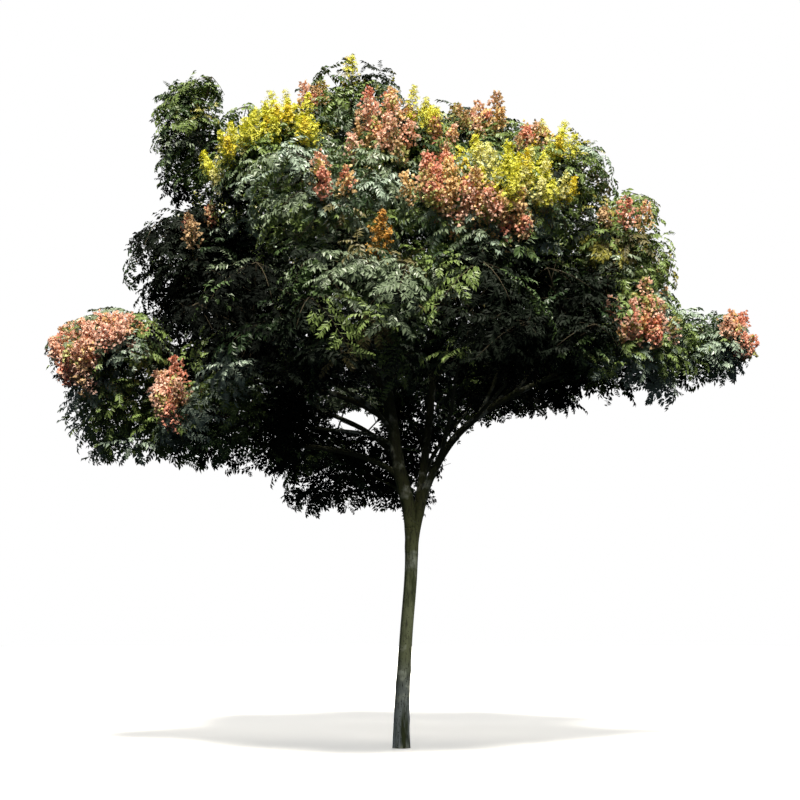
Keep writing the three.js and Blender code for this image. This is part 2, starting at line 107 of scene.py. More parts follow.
def unit(vectors: Array) -> Array:
    """Scales vectors to a length of 1."""
    return vectors / np.maximum(np.linalg.norm(vectors, axis=-1, keepdims=True), SMALLEST)


def square_to(guide: Array, axis: Array) -> Array:
    """Gives the directions square to an axis that lie nearest to a guide."""
    return unit(guide - np.sum(guide * axis, axis=-1, keepdims=True) * axis)


def direction(turn: float, rise: float) -> Array:
    """Gives the direction of length 1 at an angle round the upright and with a rise."""
    flat = math.sqrt(1 - rise * rise)
    return np.array((flat * math.cos(turn), flat * math.sin(turn), rise))


class Stream:
    """A repeatable stream of numbers from 0 to 1, the same as the one that grew the solids."""

    STEP = 0x6D2B79F5  # what the state grows by each time
    SHIFTS = (15, 7, 14)  # how far the bits are moved at each mixing
    ODD = (1, 61)  # bits that keep the two factors odd

    def __init__(self, seed: int) -> None:
        """Starts the stream at a seed."""
        self.state = seed & WORD

    def __call__(self) -> float:
        """Gives the next number.

        Returns:
            A number from 0 to just under 1.
        """
        first, second, last = self.SHIFTS
        low, high = self.ODD
        self.state = (self.state + self.STEP) & WORD
        mixed = ((self.state ^ (self.state >> first)) * (self.state | low)) & WORD
        mixed ^= (mixed + (mixed ^ (mixed >> second)) * (mixed | high)) & WORD
        return ((mixed ^ (mixed >> last)) & WORD) / (WORD + 1)


class Curve:
    """A smooth line that is read by the share of its length."""

    STEPS = 60  # places that are kept in a span
    NEAR = 0.004  # the share of the length to either side over which a direction is read
    HALVINGS = 24  # in the search for a height

    def __init__(self, places: Array) -> None:
        """Starts a line.

        Args:
            places: The close places along it.
        """
        steps = np.linalg.norm(np.diff(places, axis=0), axis=1)
        self.places = places
        self.reaches = np.concatenate(([0.0], np.cumsum(steps)))
        self.length = float(self.reaches[-1])

    @classmethod
    def bent(cls, *handles: Array) -> Curve:
        """Makes a line that its handles pull into shape.

        Args:
            *handles: Its start, the places that pull it, and its end.

        Returns:
            The line.
        """
        shares = np.linspace(0, 1, cls.STEPS + 1)[:, None]
        places = list(handles)
        while len(places) > 1:
            places = [a + (b - a) * shares for a, b in zip(places, places[1:])]
        return cls(places[0])

    @classmethod
    def through(cls, points: Array) -> Curve:
        """Makes a line through points that has no loop where they lie close.

        Args:
            points: The points.

        Returns:
            The line.
        """
        held = np.vstack((2 * points[0] - points[1], points, 2 * points[-1] - points[-2]))
        gaps = np.sqrt(np.linalg.norm(np.diff(held, axis=0), axis=1))
        t = np.linspace(0, 1, cls.STEPS, endpoint=False)[:, None]
        spans = []
        for i in range(1, len(held) - 2):
            a, b, c, d = held[i - 1 : i + 3]
            before, here, after = gaps[i - 1 : i + 2]
            leave = here * ((b - a) / before - (c - a) / (before + here) + (c - b) / here)
            arrive = here * ((c - b) / here - (d - b) / (here + after) + (d - c) / after)
            square = 3 * (c - b) - 2 * leave - arrive
            cube = 2 * (b - c) + leave + arrive
            spans.append(b + leave * t + square * t**2 + cube * t**3)
        return cls(np.vstack((*spans, points[-1])))

    def at(self, share: float | Array) -> Array:
        """Gives the places at shares of the length."""
        reach = np.asarray(share) * self.length
        return np.stack([np.interp(reach, self.reaches, self.places[:, i]) for i in range(3)], axis=-1)

    def tangent(self, share: float | Array) -> Array:
        """Gives the directions of the line.

        Args:
            share: The shares of its length at which they are read.

        Returns:
            Directions with a length of 1.
        """
        share = np.asarray(share)
        ahead = self.at(np.minimum(1, share + self.NEAR))
        return unit(ahead - self.at(np.maximum(0, share - self.NEAR)))

    def share_at_height(self, height: float) -> float:
        """Finds where a rising line passes a height.

        Args:
            height: The height.

        Returns:
            The share of the line's length.
        """
        low, high = 0.0, 1.0
        for _ in range(self.HALVINGS):
            middle = (low + high) / 2
            if self.at(middle)[2] < height:
                low = middle
            else:
                high = middle
        return low


@dataclass
class Mesh:
    """Triangles that are gathered before they become a piece."""

    points: list[Array] = field(default_factory=list)
    corners: list[Array] = field(default_factory=list)
    count: int = 0

    def add(self, points: Array, corners: Array) -> None:
        """Takes more triangles.

        Args:
            points: Their points.
            corners: The points of each triangle, counted from the first of these.
        """
        self.points.append(points.reshape(-1, 3))
        self.corners.append(corners.reshape(-1, 3) + self.count)
        self.count += self.points[-1].shape[0]

    def add_copies(self, points: Array, corners: Array) -> None:
        """Takes copies of one form.

        Args:
            points: The places of each copy's corners, as copies by corners by 3.
            corners: The form's triangles, which are the same in every copy.
        """
        first = np.arange(len(points))[:, None, None] * points.shape[1]
        self.add(points, corners[None] + first)

    @property
    def triangles(self) -> int:
        """Counts the triangles."""
        return sum(len(corners) for corners in self.corners)


def make_piece(
    name: str, mesh: Mesh, material: bpy.types.Material, nodes: Iterable[str], smooth: bool
) -> None:
    """Makes a piece that rides on the tree and stands for CAD nodes.

    Args:
        name: The piece's name.
        mesh: Its triangles, in millimetres.
        material: Its finish.
        nodes: The CAD nodes that it stands for.
        smooth: True where its faces are shaded as one round surface.
    """
    points = np.concatenate(mesh.points) * MM
    corners = np.concatenate(mesh.corners)
    data = bpy.data.meshes.new(name)
    data.vertices.add(len(points))
    data.vertices.foreach_set("co", points.astype(np.float32).ravel())
    data.loops.add(corners.size)
    data.loops.foreach_set("vertex_index", corners.astype(np.int32).ravel())
    data.polygons.add(len(corners))
    data.polygons.foreach_set("loop_start", np.arange(0, corners.size, 3, dtype=np.int32))
    data.polygons.foreach_set("use_smooth", np.full(len(corners), smooth))
    data.update(calc_edges=True)
    data.materials.append(material)
    piece = bpy.data.objects.new(name, data)
    bpy.context.scene.collection.objects.link(piece)
    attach(piece, "root")
    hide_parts(*nodes)
    log.info("%s: %d triangles", name, len(corners))


def tube(
    curve: Curve, radii: Array, sides: int, first: float = 0.0, last: float = 1.0, relief: Array | float = 1.0
) -> tuple[Array, Array]:
    """Makes a closed round skin along a curve.

    Args:
        curve: Its middle line.
        radii: Its radius at each ring, which are spread evenly along it.
        sides: Its corners in a ring.
        first: The share of the curve where it begins.
        last: The share where it ends.
        relief: What the radius is multiplied by, as one number or as rings by sides.

    Returns:
        Its points and its triangles.
    """
    rings = len(radii)
    shares = np.linspace(first, last, rings)
    middles, along = curve.at(shares), curve.tangent(shares)
    guide = np.eye(3)[np.argmin(np.abs(middles[-1] - middles[0]))]
    across = square_to(np.broadcast_to(guide, along.shape), along)
    ahead = np.cross(across, along)
    turns = np.arange(sides) * FULL_TURN / sides
    out = ahead[:, None] * np.cos(turns)[:, None] + across[:, None] * np.sin(turns)[:, None]
    reach = np.broadcast_to(radii[:, None] * relief, (rings, sides))
    skin = middles[:, None] + out * reach[..., None]
    points = np.vstack((skin.reshape(-1, 3), middles[0], middles[-1]))
    here = np.arange((rings - 1) * sides).reshape(rings - 1, sides)
    beside = np.roll(here, -1, axis=1)
    walls = np.stack((here, beside, beside + sides, here, beside + sides, here + sides), axis=-1)
    low = np.arange(sides)
    high = low + (rings - 1) * sides
    foot = np.stack((np.full(sides, rings * sides), np.roll(low, -1), low), axis=-1)
    top = np.stack((np.full(sides, rings * sides + 1), high, np.roll(high, -1)), axis=-1)
    return points, np.vstack((walls.reshape(-1, 3), foot, top))


# Finishes


@dataclass(frozen=True)
class PlainFinish:
    """A finish with one colour for each spray, and its own gloss."""

    name: str
    colour: str
    roughness: float
    specular: float = 0.5
    sheen: float = 0.0
    ior: float = 1.45

    def make(self) -> bpy.types.Material:
        """Makes the material.

        Returns:
            The new material.
        """
        material = bpy.data.materials.new(self.name)
        material.use_nodes = True
        shader = material.node_tree.nodes["Principled BSDF"]
        shader.inputs["Base Color"].default_value = linear(self.colour)
        shader.inputs["Roughness"].default_value = self.roughness
        shader.inputs["IOR"].default_value = self.ior
        shader.inputs["Specular IOR Level"].default_value = self.specular
        shader.inputs["Sheen Weight"].default_value = self.sheen
        return material


class Leaf(Enum):
    """The colours of living leaves.

    Their waxy skin gives a soft gloss that takes the light of the sky. The two matt near-black greens are
    painted shade, and the palest green is painted light. Where the crown takes its lighter and darker greens
    paints light and shade too.
    """

    # Painted shade: a matt near-black green for the deepest recesses of the crown.
    PAINTED_DEEP_SHADE = PlainFinish("living_leaf_matt_dusk_green", "#0a100a", 0.7, 0.1)
    # Painted shade: a matt dark green for the shaded parts of the crown.
    SHADE = PlainFinish("leaf_matt_green_painted_shade", "#141e12", 0.65, 0.18)
    DEEP = PlainFinish("living_leaf_waxy_deep_green", "#2e4424", 0.46)
    MIDDLE = PlainFinish("living_leaf_waxy_middle_green", "#4c6336", 0.44)
    GREY = PlainFinish("living_leaf_waxy_grey_green", "#7a8a6c", 0.38)
    # Painted light: a pale green that brightens leaves where the crown is lit.
    PAINTED_LIGHT_SILVER = PlainFinish("living_leaf_waxy_silver_green", "#9bad98", 0.36)
    LIGHT = PlainFinish("living_leaf_waxy_light_green", "#768b4a", 0.44)
    YELLOW = PlainFinish("living_leaf_waxy_yellow_green", "#989440", 0.48)
    OLIVE = PlainFinish("living_leaf_waxy_olive", "#6f6940", 0.48)


class Petal(Enum):
    """The colours of fresh petals. Their velvet surface scatters light with hardly any gloss."""

    LEMON = PlainFinish("fresh_petal_velvet_lemon", "#f0ee62", 0.62, 0.3, 0.1)
    GOLD = PlainFinish("fresh_petal_velvet_gold", "#f2e048", 0.62, 0.3, 0.1)
    PALE = PlainFinish("fresh_petal_velvet_pale", "#f1eea2", 0.62, 0.3, 0.1)
    AMBER = PlainFinish("fading_petal_velvet_amber", "#dba44a", 0.64, 0.3, 0.1)


class Capsule(Enum):
    """The colours of ripening capsules. Their dry papery walls are matt with a faint sheen."""

    SALMON = PlainFinish("papery_capsule_dry_salmon", "#f3c5aa", 0.66, 0.35, 0.15)
    ORANGE = PlainFinish("papery_capsule_dry_orange", "#ecca90", 0.66, 0.35, 0.15)
    PINK = PlainFinish("papery_capsule_dry_pink", "#f1c8b3", 0.66, 0.35, 0.15)
    RED = PlainFinish("papery_capsule_dry_red", "#e6a288", 0.66, 0.35, 0.15)
    BROWN = PlainFinish("papery_capsule_dry_brown", "#ccab80", 0.7, 0.3, 0.15)
    LIME = PlainFinish("papery_capsule_fresh_lime", "#c3c27a", 0.6, 0.4, 0.1)


# Young twig bark is smooth and dull, so it shows as thin dark lines between the leaves.
TWIG_BARK = PlainFinish("young_twig_bark_smooth", "#4d4634", 0.8, 0.3)

# The stalks of the panicles are smooth and sappy, so they shine a little where the sun meets them.
STALK = PlainFinish("living_stalk_smooth_yellow_green", "#989440", 0.5)


class Texture(Enum):
    """The textures that draw the marks on bark: each one's node, and the output that is read."""

    CLOUDS = ("ShaderNodeTexNoise", "Fac")
    CELLS = ("ShaderNodeTexVoronoi", "Distance")


@dataclass(frozen=True)
class Marks:
    """A kind of mark on bark."""

    colour: str
    size_mm: float  # from one mark to the next
    none_at: float  # the texture's level where the marks begin
    full_at: float  # its level where they cover the bark
    detail: float = 0.0  # how many times the clouds are broken up finer
    upright: bool = False  # True where the marks run up the stem
    texture: Texture = Texture.CLOUDS


@dataclass(frozen=True)
class BarkFinish:
    """Tree bark, weathered.

    It is dull, grey at the foot, olive with algae higher up, and dark in its cracks and spots. Among the
    boughs it turns darker still, which is painted shade.
    """

    name: str = "tree_bark_weathered"
    # The colour of the skin at each height, in metres above ground. The last step, darkening towards 3.6 m
    # and above, is painted shade under the crown.
    skin: tuple[tuple[float, str], ...] = (
        (0.1, "#a2aaa6"),
        (0.75, "#80867a"),
        (1.1, "#767a57"),
        (2.1, "#878c63"),
        (2.7, "#6e7247"),
        (3.6, "#474a30"),
    )
    lichen: Marks = Marks("#bcc0a6", 260.0, 0.54, 0.66, 3.0)
    moss: Marks = Marks("#424a2a", 170.0, 0.50, 0.62, 4.0, True)
    cracks: Marks = Marks("#37352a", 26.0, 0.47, 0.30, 5.0, True)
    spots: Marks = Marks("#33332c", 34.0, 0.24, 0.10, texture=Texture.CELLS)
    cloud_roughness: float = 0.6
    upright_scale: tuple[float, float, float] = (1.0, 1.0, 0.2)  # draws upright marks out five times
    crack_depth: float = 0.006  # metres
    crack_strength: float = 0.7
    roughness: float = 0.86
    specular: float = 0.3

    def make(self) -> bpy.types.Material:
        """Makes the material. Its marks lie in the frame's own coordinates, in metres.

        Returns:
            The new material.
        """
        material = bpy.data.materials.new(self.name)
        material.use_nodes = True
        tree = material.node_tree
        shader = tree.nodes["Principled BSDF"]
        place = add_node(tree, "ShaderNodeTexCoord").outputs["Object"]
        height = add_node(tree, "ShaderNodeSeparateXYZ", {0: place}).outputs["Z"]
        inputs = {"Vector": place, "Scale": self.upright_scale}
        drawn = add_node(tree, "ShaderNodeMapping", inputs).outputs["Vector"]
        # Each layer has a level, the values of it where the layer begins and is full, and a colour.
        layers = [(height, low, high, tone) for (low, _), (high, tone) in zip(self.skin, self.skin[1:])]
        for marks in (self.lichen, self.moss, self.cracks, self.spots):
            inputs = {"Vector": drawn if marks.upright else place, "Scale": 1 / (marks.size_mm * MM)}
            if marks.texture is Texture.CLOUDS:
                inputs |= {"Detail": marks.detail, "Roughness": self.cloud_roughness}
            kind, output = marks.texture.value
            level = add_node(tree, kind, inputs).outputs[output]
            layers.append((level, marks.none_at, marks.full_at, marks.colour))
            if marks is self.cracks:
                relief = {"Height": level, "Strength": self.crack_strength, "Distance": self.crack_depth}
                bump = add_node(tree, "ShaderNodeBump", relief).outputs["Normal"]
                tree.links.new(bump, shader.inputs["Normal"])
        colour: object = linear(self.skin[0][1])
        for level, low, high, tone in layers:
            limits = {"Value": level, "From Min": low, "From Max": high}
            share = add_node(tree, "ShaderNodeMapRange", limits).outputs["Result"]
            inputs = {"Factor": share, "A": colour, "B": linear(tone)}
            colour = add_node(tree, "ShaderNodeMix", inputs, data_type="RGBA").outputs[2]
        tree.links.new(colour, shader.inputs["Base Color"])
        shader.inputs["Roughness"].default_value = self.roughness
        shader.inputs["Specular IOR Level"].default_value = self.specular
        return material


@dataclass(frozen=True)
class FloorFinish:
    """Studio floor paper, matt: nearly white, so that the tree stands in clear light."""

    name: str = "floor_paper_matt"
    colour: str = "#f2f2ef"
    roughness: float = 0.95
    specular: float = 0.2
    glow: float = 0.4  # painted light: the floor glows by itself, so that the crown's shadow on it stays pale

    def make(self) -> bpy.types.Material:
        """Makes the material.

        Returns:
            The new material.
        """
        material = PlainFinish(self.name, self.colour, self.roughness, self.specular).make()
        shader = material.node_tree.nodes["Principled BSDF"]
        # Painted light: the floor's own glow lifts the shadow that falls on it.
        shader.inputs["Emission Color"].default_value = linear(self.colour)
        shader.inputs["Emission Strength"].default_value = self.glow
        return material


# The tree's rule, as in the solids


class Bloom(Enum):
    """What stands on the highest twigs of a mass."""

    GOLD = "gold"
    FRUIT = "fruit"


@dataclass(frozen=True)
class Keep:
    """How far the finer growth of a mass keeps inside its space: a share of it each way, and a shift."""

    share: tuple[float, float, float] = (1.0, 1.0, 1.0)
    shift: tuple[float, float, float] = (0.0, 0.0, 0.0)


@dataclass(frozen=True)
class Patch:
    """A patch of panicles on a mass.

    The direction points from the middle of the mass: right, back and up, each as a share of its half length.
    """

    mass: str
    bloom: Bloom
    direction: tuple[float, float, float]
    cap: float  # from the middle of the patch to its edge, in radians
    panicles: int

    @property
    def axis(self) -> Array:
        """Its direction with a length of 1."""
        return unit(np.array(self.direction))


@dataclass
class Mass:
    """A mass of foliage: the space that its leaves keep to, and the limb that its bough leaves."""

    name: str
    centre: Array
    half: Array
    limb: str | None
    height: float | None
    index: int
    towards: Array = field(default_factory=lambda: np.zeros((0, 3)))
    distance: Array = field(default_factory=lambda: np.zeros(0))

    SKIN = 8.0  # the solids keep this far inside their space

    @property
    def leafy_centre(self) -> Array:
        """The middle of its finer growth."""
        return self.centre + np.array(KEPT_IN.get(self.name, Keep()).shift)

    @property
    def leafy_half(self) -> Array:
        """The half lengths of the space that its finer growth keeps to."""
        return self.half * np.array(KEPT_IN.get(self.name, Keep()).share)

    @property
    def radius(self) -> float:
        """Its mean radius."""
        return float(self.half.mean())

    def meet(self, others: Sequence[Mass]) -> None:
        """Finds the borders that it shares with its neighbours.

        Args:
            others: All masses, itself among them.
        """
        away = np.array([other.centre - self.centre for other in others if other is not self])
        radii = np.array([other.radius for other in others if other is not self])
        apart = np.linalg.norm(away, axis=1)
        self.towards = away / apart[:, None]
        self.distance = (apart**2 + self.radius**2 - radii**2) / (2 * apart)

    def holds(self, places: Array) -> bool:
        """Says whether all places lie in its space.

        Args:
            places: One place or more.

        Returns:
            True where none lies outside.
        """
        off = np.atleast_2d(places) - self.centre
        inside = np.sum((off / (self.half - self.SKIN)) ** 2, axis=1) <= 1
        return bool(inside.all() and (off @ self.towards.T < self.distance - self.SKIN).all())

    def entry(self, start: Array, share: float) -> Array:
        """Gives the place on the way to its middle that lies at a share of its skin."""
        away = start - self.centre
        return self.centre + away * share / np.linalg.norm(away / self.half)


@dataclass
class Limb:
    """A tapering limb along a curve."""

    name: str
    curve: Curve
    radius_at: Callable[[Array], Array]
    start: float = 0.0
    end: float = 1.0
    mass: Mass | None = None
    limb: Limb | None = None


@dataclass
class Twig:
    """A twig, the axis of the leaves round its tip, and the turn of the first of them."""

    curve: Curve
    tip: Array
    axis: Array
    side: Array
    phase: float
    sprays: list[Array] = field(default_factory=list)

    def frame(self) -> tuple[Array, Array]:
        """Gives the two directions square to its axis."""
        across = square_to(self.side, self.axis)
        return np.cross(across, self.axis), across

    def corner(self, turn: float, out: float, drop: float) -> Array:
        """Gives a place beside its tip.

        Args:
            turn: The angle round its axis.
            out: How far from the axis.
            drop: How far down the axis.

        Returns:
            The place.
        """
        ahead, across = self.frame()
        spread = ahead * math.cos(turn) + across * math.sin(turn)
        return self.tip - self.axis * drop + spread * out


# Name, middle, half lengths, the limb that its bough leaves, and the height where it does.
MASS_ROWS = (
    ("spire_left", (-2760, 860, 8100), (720, 780, 1230), "leader", 5350),
    ("crest_left", (-1590, -640, 7060), (1140, 1190, 1290), "leader", 5050),
    ("crest_peak", (-690, 460, 7950), (910, 1060, 1250), None, None),
    ("crest_middle", (40, -790, 6960), (1030, 1120, 1290), "leader", 5500),
    ("crest_right", (990, -270, 7140), (1090, 1120, 1180), None, None),
    ("crest_back", (410, 1200, 7730), (1360, 1190, 1140), "middle", 5250),
    ("shoulder_right", (1880, -460, 6810), (990, 1190, 1140), "right", 4080),
    ("flank_right", (2650, -370, 6130), (1000, 1260, 1060), "right", 4350),
    ("low_right", (2820, -280, 5110), (1090, 1260, 1010), None, None),
    ("arm_right", (3890, 0, 4990), (800, 790, 760), "right", 4500),
    ("under_right", (1600, 700, 4800), (1330, 1190, 950), "right", 3920),
    ("flank_left", (-2530, -180, 6030), (1110, 1260, 1060), "leader", 4800),
    ("arm_left", (-3560, -470, 4870), (1090, 1120, 860), "leader", 4020),
    ("arm_left_low", (-3250, 250, 4010), (1000, 1060, 830), "leader", 3350),
    ("low_left", (-2030, -630, 4130), (1160, 1190, 1140), "leader", 3720),
    ("inner_left", (-950, 1100, 3850), (1290, 1120, 1320), "leader", 3080),
    ("front_left", (-1590, -2000, 4860), (1230, 1190, 1060), "leader", 3880),
    ("front_middle", (-460, -2600, 4880), (1240, 1190, 1000), "leader", 4350),
    ("front_right", (770, -2380, 4930), (1250, 1190, 1060), "right", 3480),
    ("front_far_right", (1870, -1700, 4980), (1160, 1190, 1060), "right", 4000),
    ("brow_left", (-860, -1770, 6290), (1230, 1070, 1000), "leader", 4600),
    ("brow_right", (950, -1680, 6330), (1290, 1070, 1000), "middle", 4900),
    ("back_left", (-2250, 1930, 6580), (1430, 1340, 1290), "leader", 4450),
    ("back_middle", (-640, 2560, 6750), (1500, 1340, 1430), "middle", 4600),
    ("back_right", (1230, 2370, 6710), (1500, 1340, 1430), "middle", 4350),
    ("back_far_right", (2520, 1510, 5980), (1360, 1260, 1290), "right", 4180),
    ("back_low_left", (-2290, 2110, 5060), (1430, 1260, 1110), "leader", 3560),
    ("back_low_middle", (-460, 3080, 5200), (1500, 1260, 1180), "middle", 3620),
    ("back_low_right", (1280, 2800, 5060), (1500, 1260, 1110), "middle", 3300),
)

# The masses whose finer growth keeps to a space of its own, so that the outline follows the photograph.
KEPT_IN = {
    "spire_left": Keep((0.76, 0.90, 0.99), (-180.0, 40.0, 30.0)),
    "crest_left": Keep((0.95, 0.91, 0.92), (70.0, 0.0, -60.0)),
    "under_right": Keep((0.85, 0.85, 0.85)),
    "flank_left": Keep((1.0, 1.15, 0.97), (20.0, 120.0, -40.0)),
    "crest_right": Keep((1.0, 1.15, 1.05), (0.0, 120.0, -60.0)),
    "back_left": Keep((1.0, 1.06, 1.04), (0.0, -80.0, -40.0)),
    "back_far_right": Keep((1.0, 1.10, 1.06), (-60.0, 80.0, 0.0)),
    "back_low_left": Keep((1.0, 1.08, 1.05), (0.0, -100.0, 0.0)),
    "arm_left": Keep((0.90, 0.90, 0.78), (60.0, 60.0, -50.0)),
    "arm_left_low": Keep((1.02, 0.94, 0.93), (-80.0, -460.0, 90.0)),
    "arm_right": Keep((0.84, 0.84, 0.80), (0.0, 0.0, 30.0)),
    "low_left": Keep((0.92, 0.92, 0.88)),
    "inner_left": Keep((1.10, 1.0, 0.93), (420.0, 0.0, 30.0)),
    "shoulder_right": Keep((0.93, 0.93, 0.97)),
    "flank_right": Keep((0.92, 0.93, 0.92), (-10.0, 0.0, -80.0)),
    "low_right": Keep((0.96, 1.0, 1.06), (-90.0, 0.0, -110.0)),
    "front_left": Keep((0.94, 0.90, 0.95), (60.0, 60.0, 0.0)),
    "front_right": Keep((0.92, 0.92, 0.94), (-80.0, 60.0, 20.0)),
    "front_far_right": Keep((0.86, 0.82, 0.90), (-40.0, 200.0, 40.0)),
    "back_low_middle": Keep((1.0, 0.92, 1.0)),
    "back_low_right": Keep((1.04, 1.0, 1.10), (-60.0, 0.0, -40.0)),
}

# The panicles, as the photograph shows them. Those at the back are guessed.
GOLD, FRUIT = Bloom.GOLD, Bloom.FRUIT
PATCHES = (
    Patch("crest_left", GOLD, (0.13, -0.60, 0.80), 0.24, 10),
    Patch("crest_left", GOLD, (-0.16, -0.78, 0.60), 0.30, 12),
    Patch("crest_left", GOLD, (-0.52, -0.76, 0.38), 0.24, 8),
    Patch("crest_left", GOLD, (-0.85, -0.50, 0.15), 0.16, 4),
    Patch("crest_left", GOLD, (0.40, -0.78, 0.48), 0.16, 4),
    Patch("crest_peak", FRUIT, (-0.63, -0.60, 0.45), 0.30, 5),
    Patch("crest_peak", GOLD, (0.00, -0.60, 0.72), 0.20, 2),
    Patch("crest_middle", FRUIT, (-0.32, -0.78, 0.50), 0.44, 21),
    Patch("crest_middle", FRUIT, (0.50, -0.78, 0.36), 0.24, 4),
    Patch("crest_middle", GOLD, (0.32, -0.68, 0.66), 0.26, 8),
    Patch("crest_right", FRUIT, (0.00, -0.60, 0.78), 0.40, 8),
    Patch("brow_right", GOLD, (-0.05, -0.80, 0.60), 0.26, 8),
    Patch("brow_right", GOLD, (0.20, -0.92, 0.30), 0.30, 9),
    Patch("brow_right", FRUIT, (-0.52, -0.80, 0.32), 0.32, 10),
    Patch("brow_right", FRUIT, (-0.30, -0.95, 0.02), 0.34, 11),
    Patch("brow_right", FRUIT, (0.10, -0.98, -0.10), 0.30, 7),
    Patch("brow_right", FRUIT, (0.30, -0.92, -0.28), 0.26, 5),
    Patch("brow_right", GOLD, (0.56, -0.72, 0.45), 0.26, 8),
    Patch("brow_right", GOLD, (0.66, -0.74, 0.12), 0.26, 8),
    Patch("shoulder_right", GOLD, (0.00, -0.75, 0.60), 0.34, 9),
    Patch("shoulder_right", FRUIT, (-0.30, -0.65, 0.68), 0.26, 5),
    Patch("flank_right", FRUIT, (0.05, -0.75, 0.62), 0.36, 4),
    Patch("low_right", FRUIT, (0.15, -0.92, 0.22), 0.42, 12),
    Patch("arm_right", FRUIT, (0.60, -0.60, 0.45), 0.45, 8),
    Patch("flank_left", FRUIT, (-0.02, -0.82, 0.52), 0.30, 3),
    Patch("arm_left", FRUIT, (-0.60, -0.70, 0.30), 0.46, 15),
    Patch("arm_left", FRUIT, (0.00, -0.78, 0.52), 0.46, 13),
    Patch("arm_left", FRUIT, (-0.45, -0.85, -0.22), 0.36, 8),
    Patch("low_left", FRUIT, (-0.82, -0.55, 0.22), 0.36, 13),
    Patch("brow_left", GOLD, (0.60, -0.74, -0.40), 0.20, 3),
    Patch("brow_left", FRUIT, (0.05, -0.92, 0.35), 0.26, 4),
    Patch("crest_back", FRUIT, (0.00, 0.60, 0.80), 0.60, 14),
    Patch("back_left", GOLD, (-0.30, 0.60, 0.75), 0.60, 20),
    Patch("back_middle", FRUIT, (0.00, 0.70, 0.70), 0.75, 24),
    Patch("back_right", GOLD, (0.30, 0.60, 0.75), 0.62, 24),
    Patch("back_far_right", FRUIT, (0.70, 0.50, 0.50), 0.60, 15),
    Patch("back_low_middle", FRUIT, (0.00, 0.80, 0.50), 0.45, 10),
    Patch("back_low_right", GOLD, (0.20, 0.80, 0.55), 0.45, 11),
)


@dataclass(frozen=True)
class Zone:
    """A part of the crown where some colours are more common."""

    across: tuple[float, float]
    height: tuple[float, float]
    colours: dict[Enum, float]
    furthest_back: float = math.inf

    def holds(self, place: Array) -> bool:
        """Says whether a place lies in it."""
        (left, right), (low, high) = self.across, self.height
        return left < place[0] < right and low < place[2] < high and place[1] < self.furthest_back


@dataclass(frozen=True)
class Opening:
    """A place where the photograph shows sky.

    It is a window with round corners, on the upright plane through the trunk that faces the camera.
    """

    across: float
    height: float
    half_width: float
    half_height: float


OPENINGS = (
    Opening(-570.0, 4080.0, 340.0, 135.0),  # over the fork
    Opening(2300.0, 2930.0, 1850.0, 1250.0),  # under the boughs on the right
    Opening(-3050.0, 2700.0, 1150.0, 800.0),  # under the boughs on the left
)
FAR = 9000.0
ANYWHERE = (-math.inf, math.inf)

# The weight of each leaf colour: on the sunlit sprays, and on the finer twigs between them.
# This paints light and shade: the sprays take lighter greens, the finer twigs darker greens and painted
# shade.
LEAF_WEIGHTS = {
    Leaf.PAINTED_DEEP_SHADE: (0.0, 0.0),
    Leaf.SHADE: (0.0, 2.6),
    Leaf.DEEP: (0.8, 3.0),
    Leaf.MIDDLE: (2.2, 2.4),
    Leaf.GREY: (3.6, 0.6),
    Leaf.PAINTED_LIGHT_SILVER: (0.0, 0.0),
    Leaf.LIGHT: (2.0, 0.7),
    Leaf.YELLOW: (0.05, 0.05),
    Leaf.OLIVE: (0.4, 0.4),
}

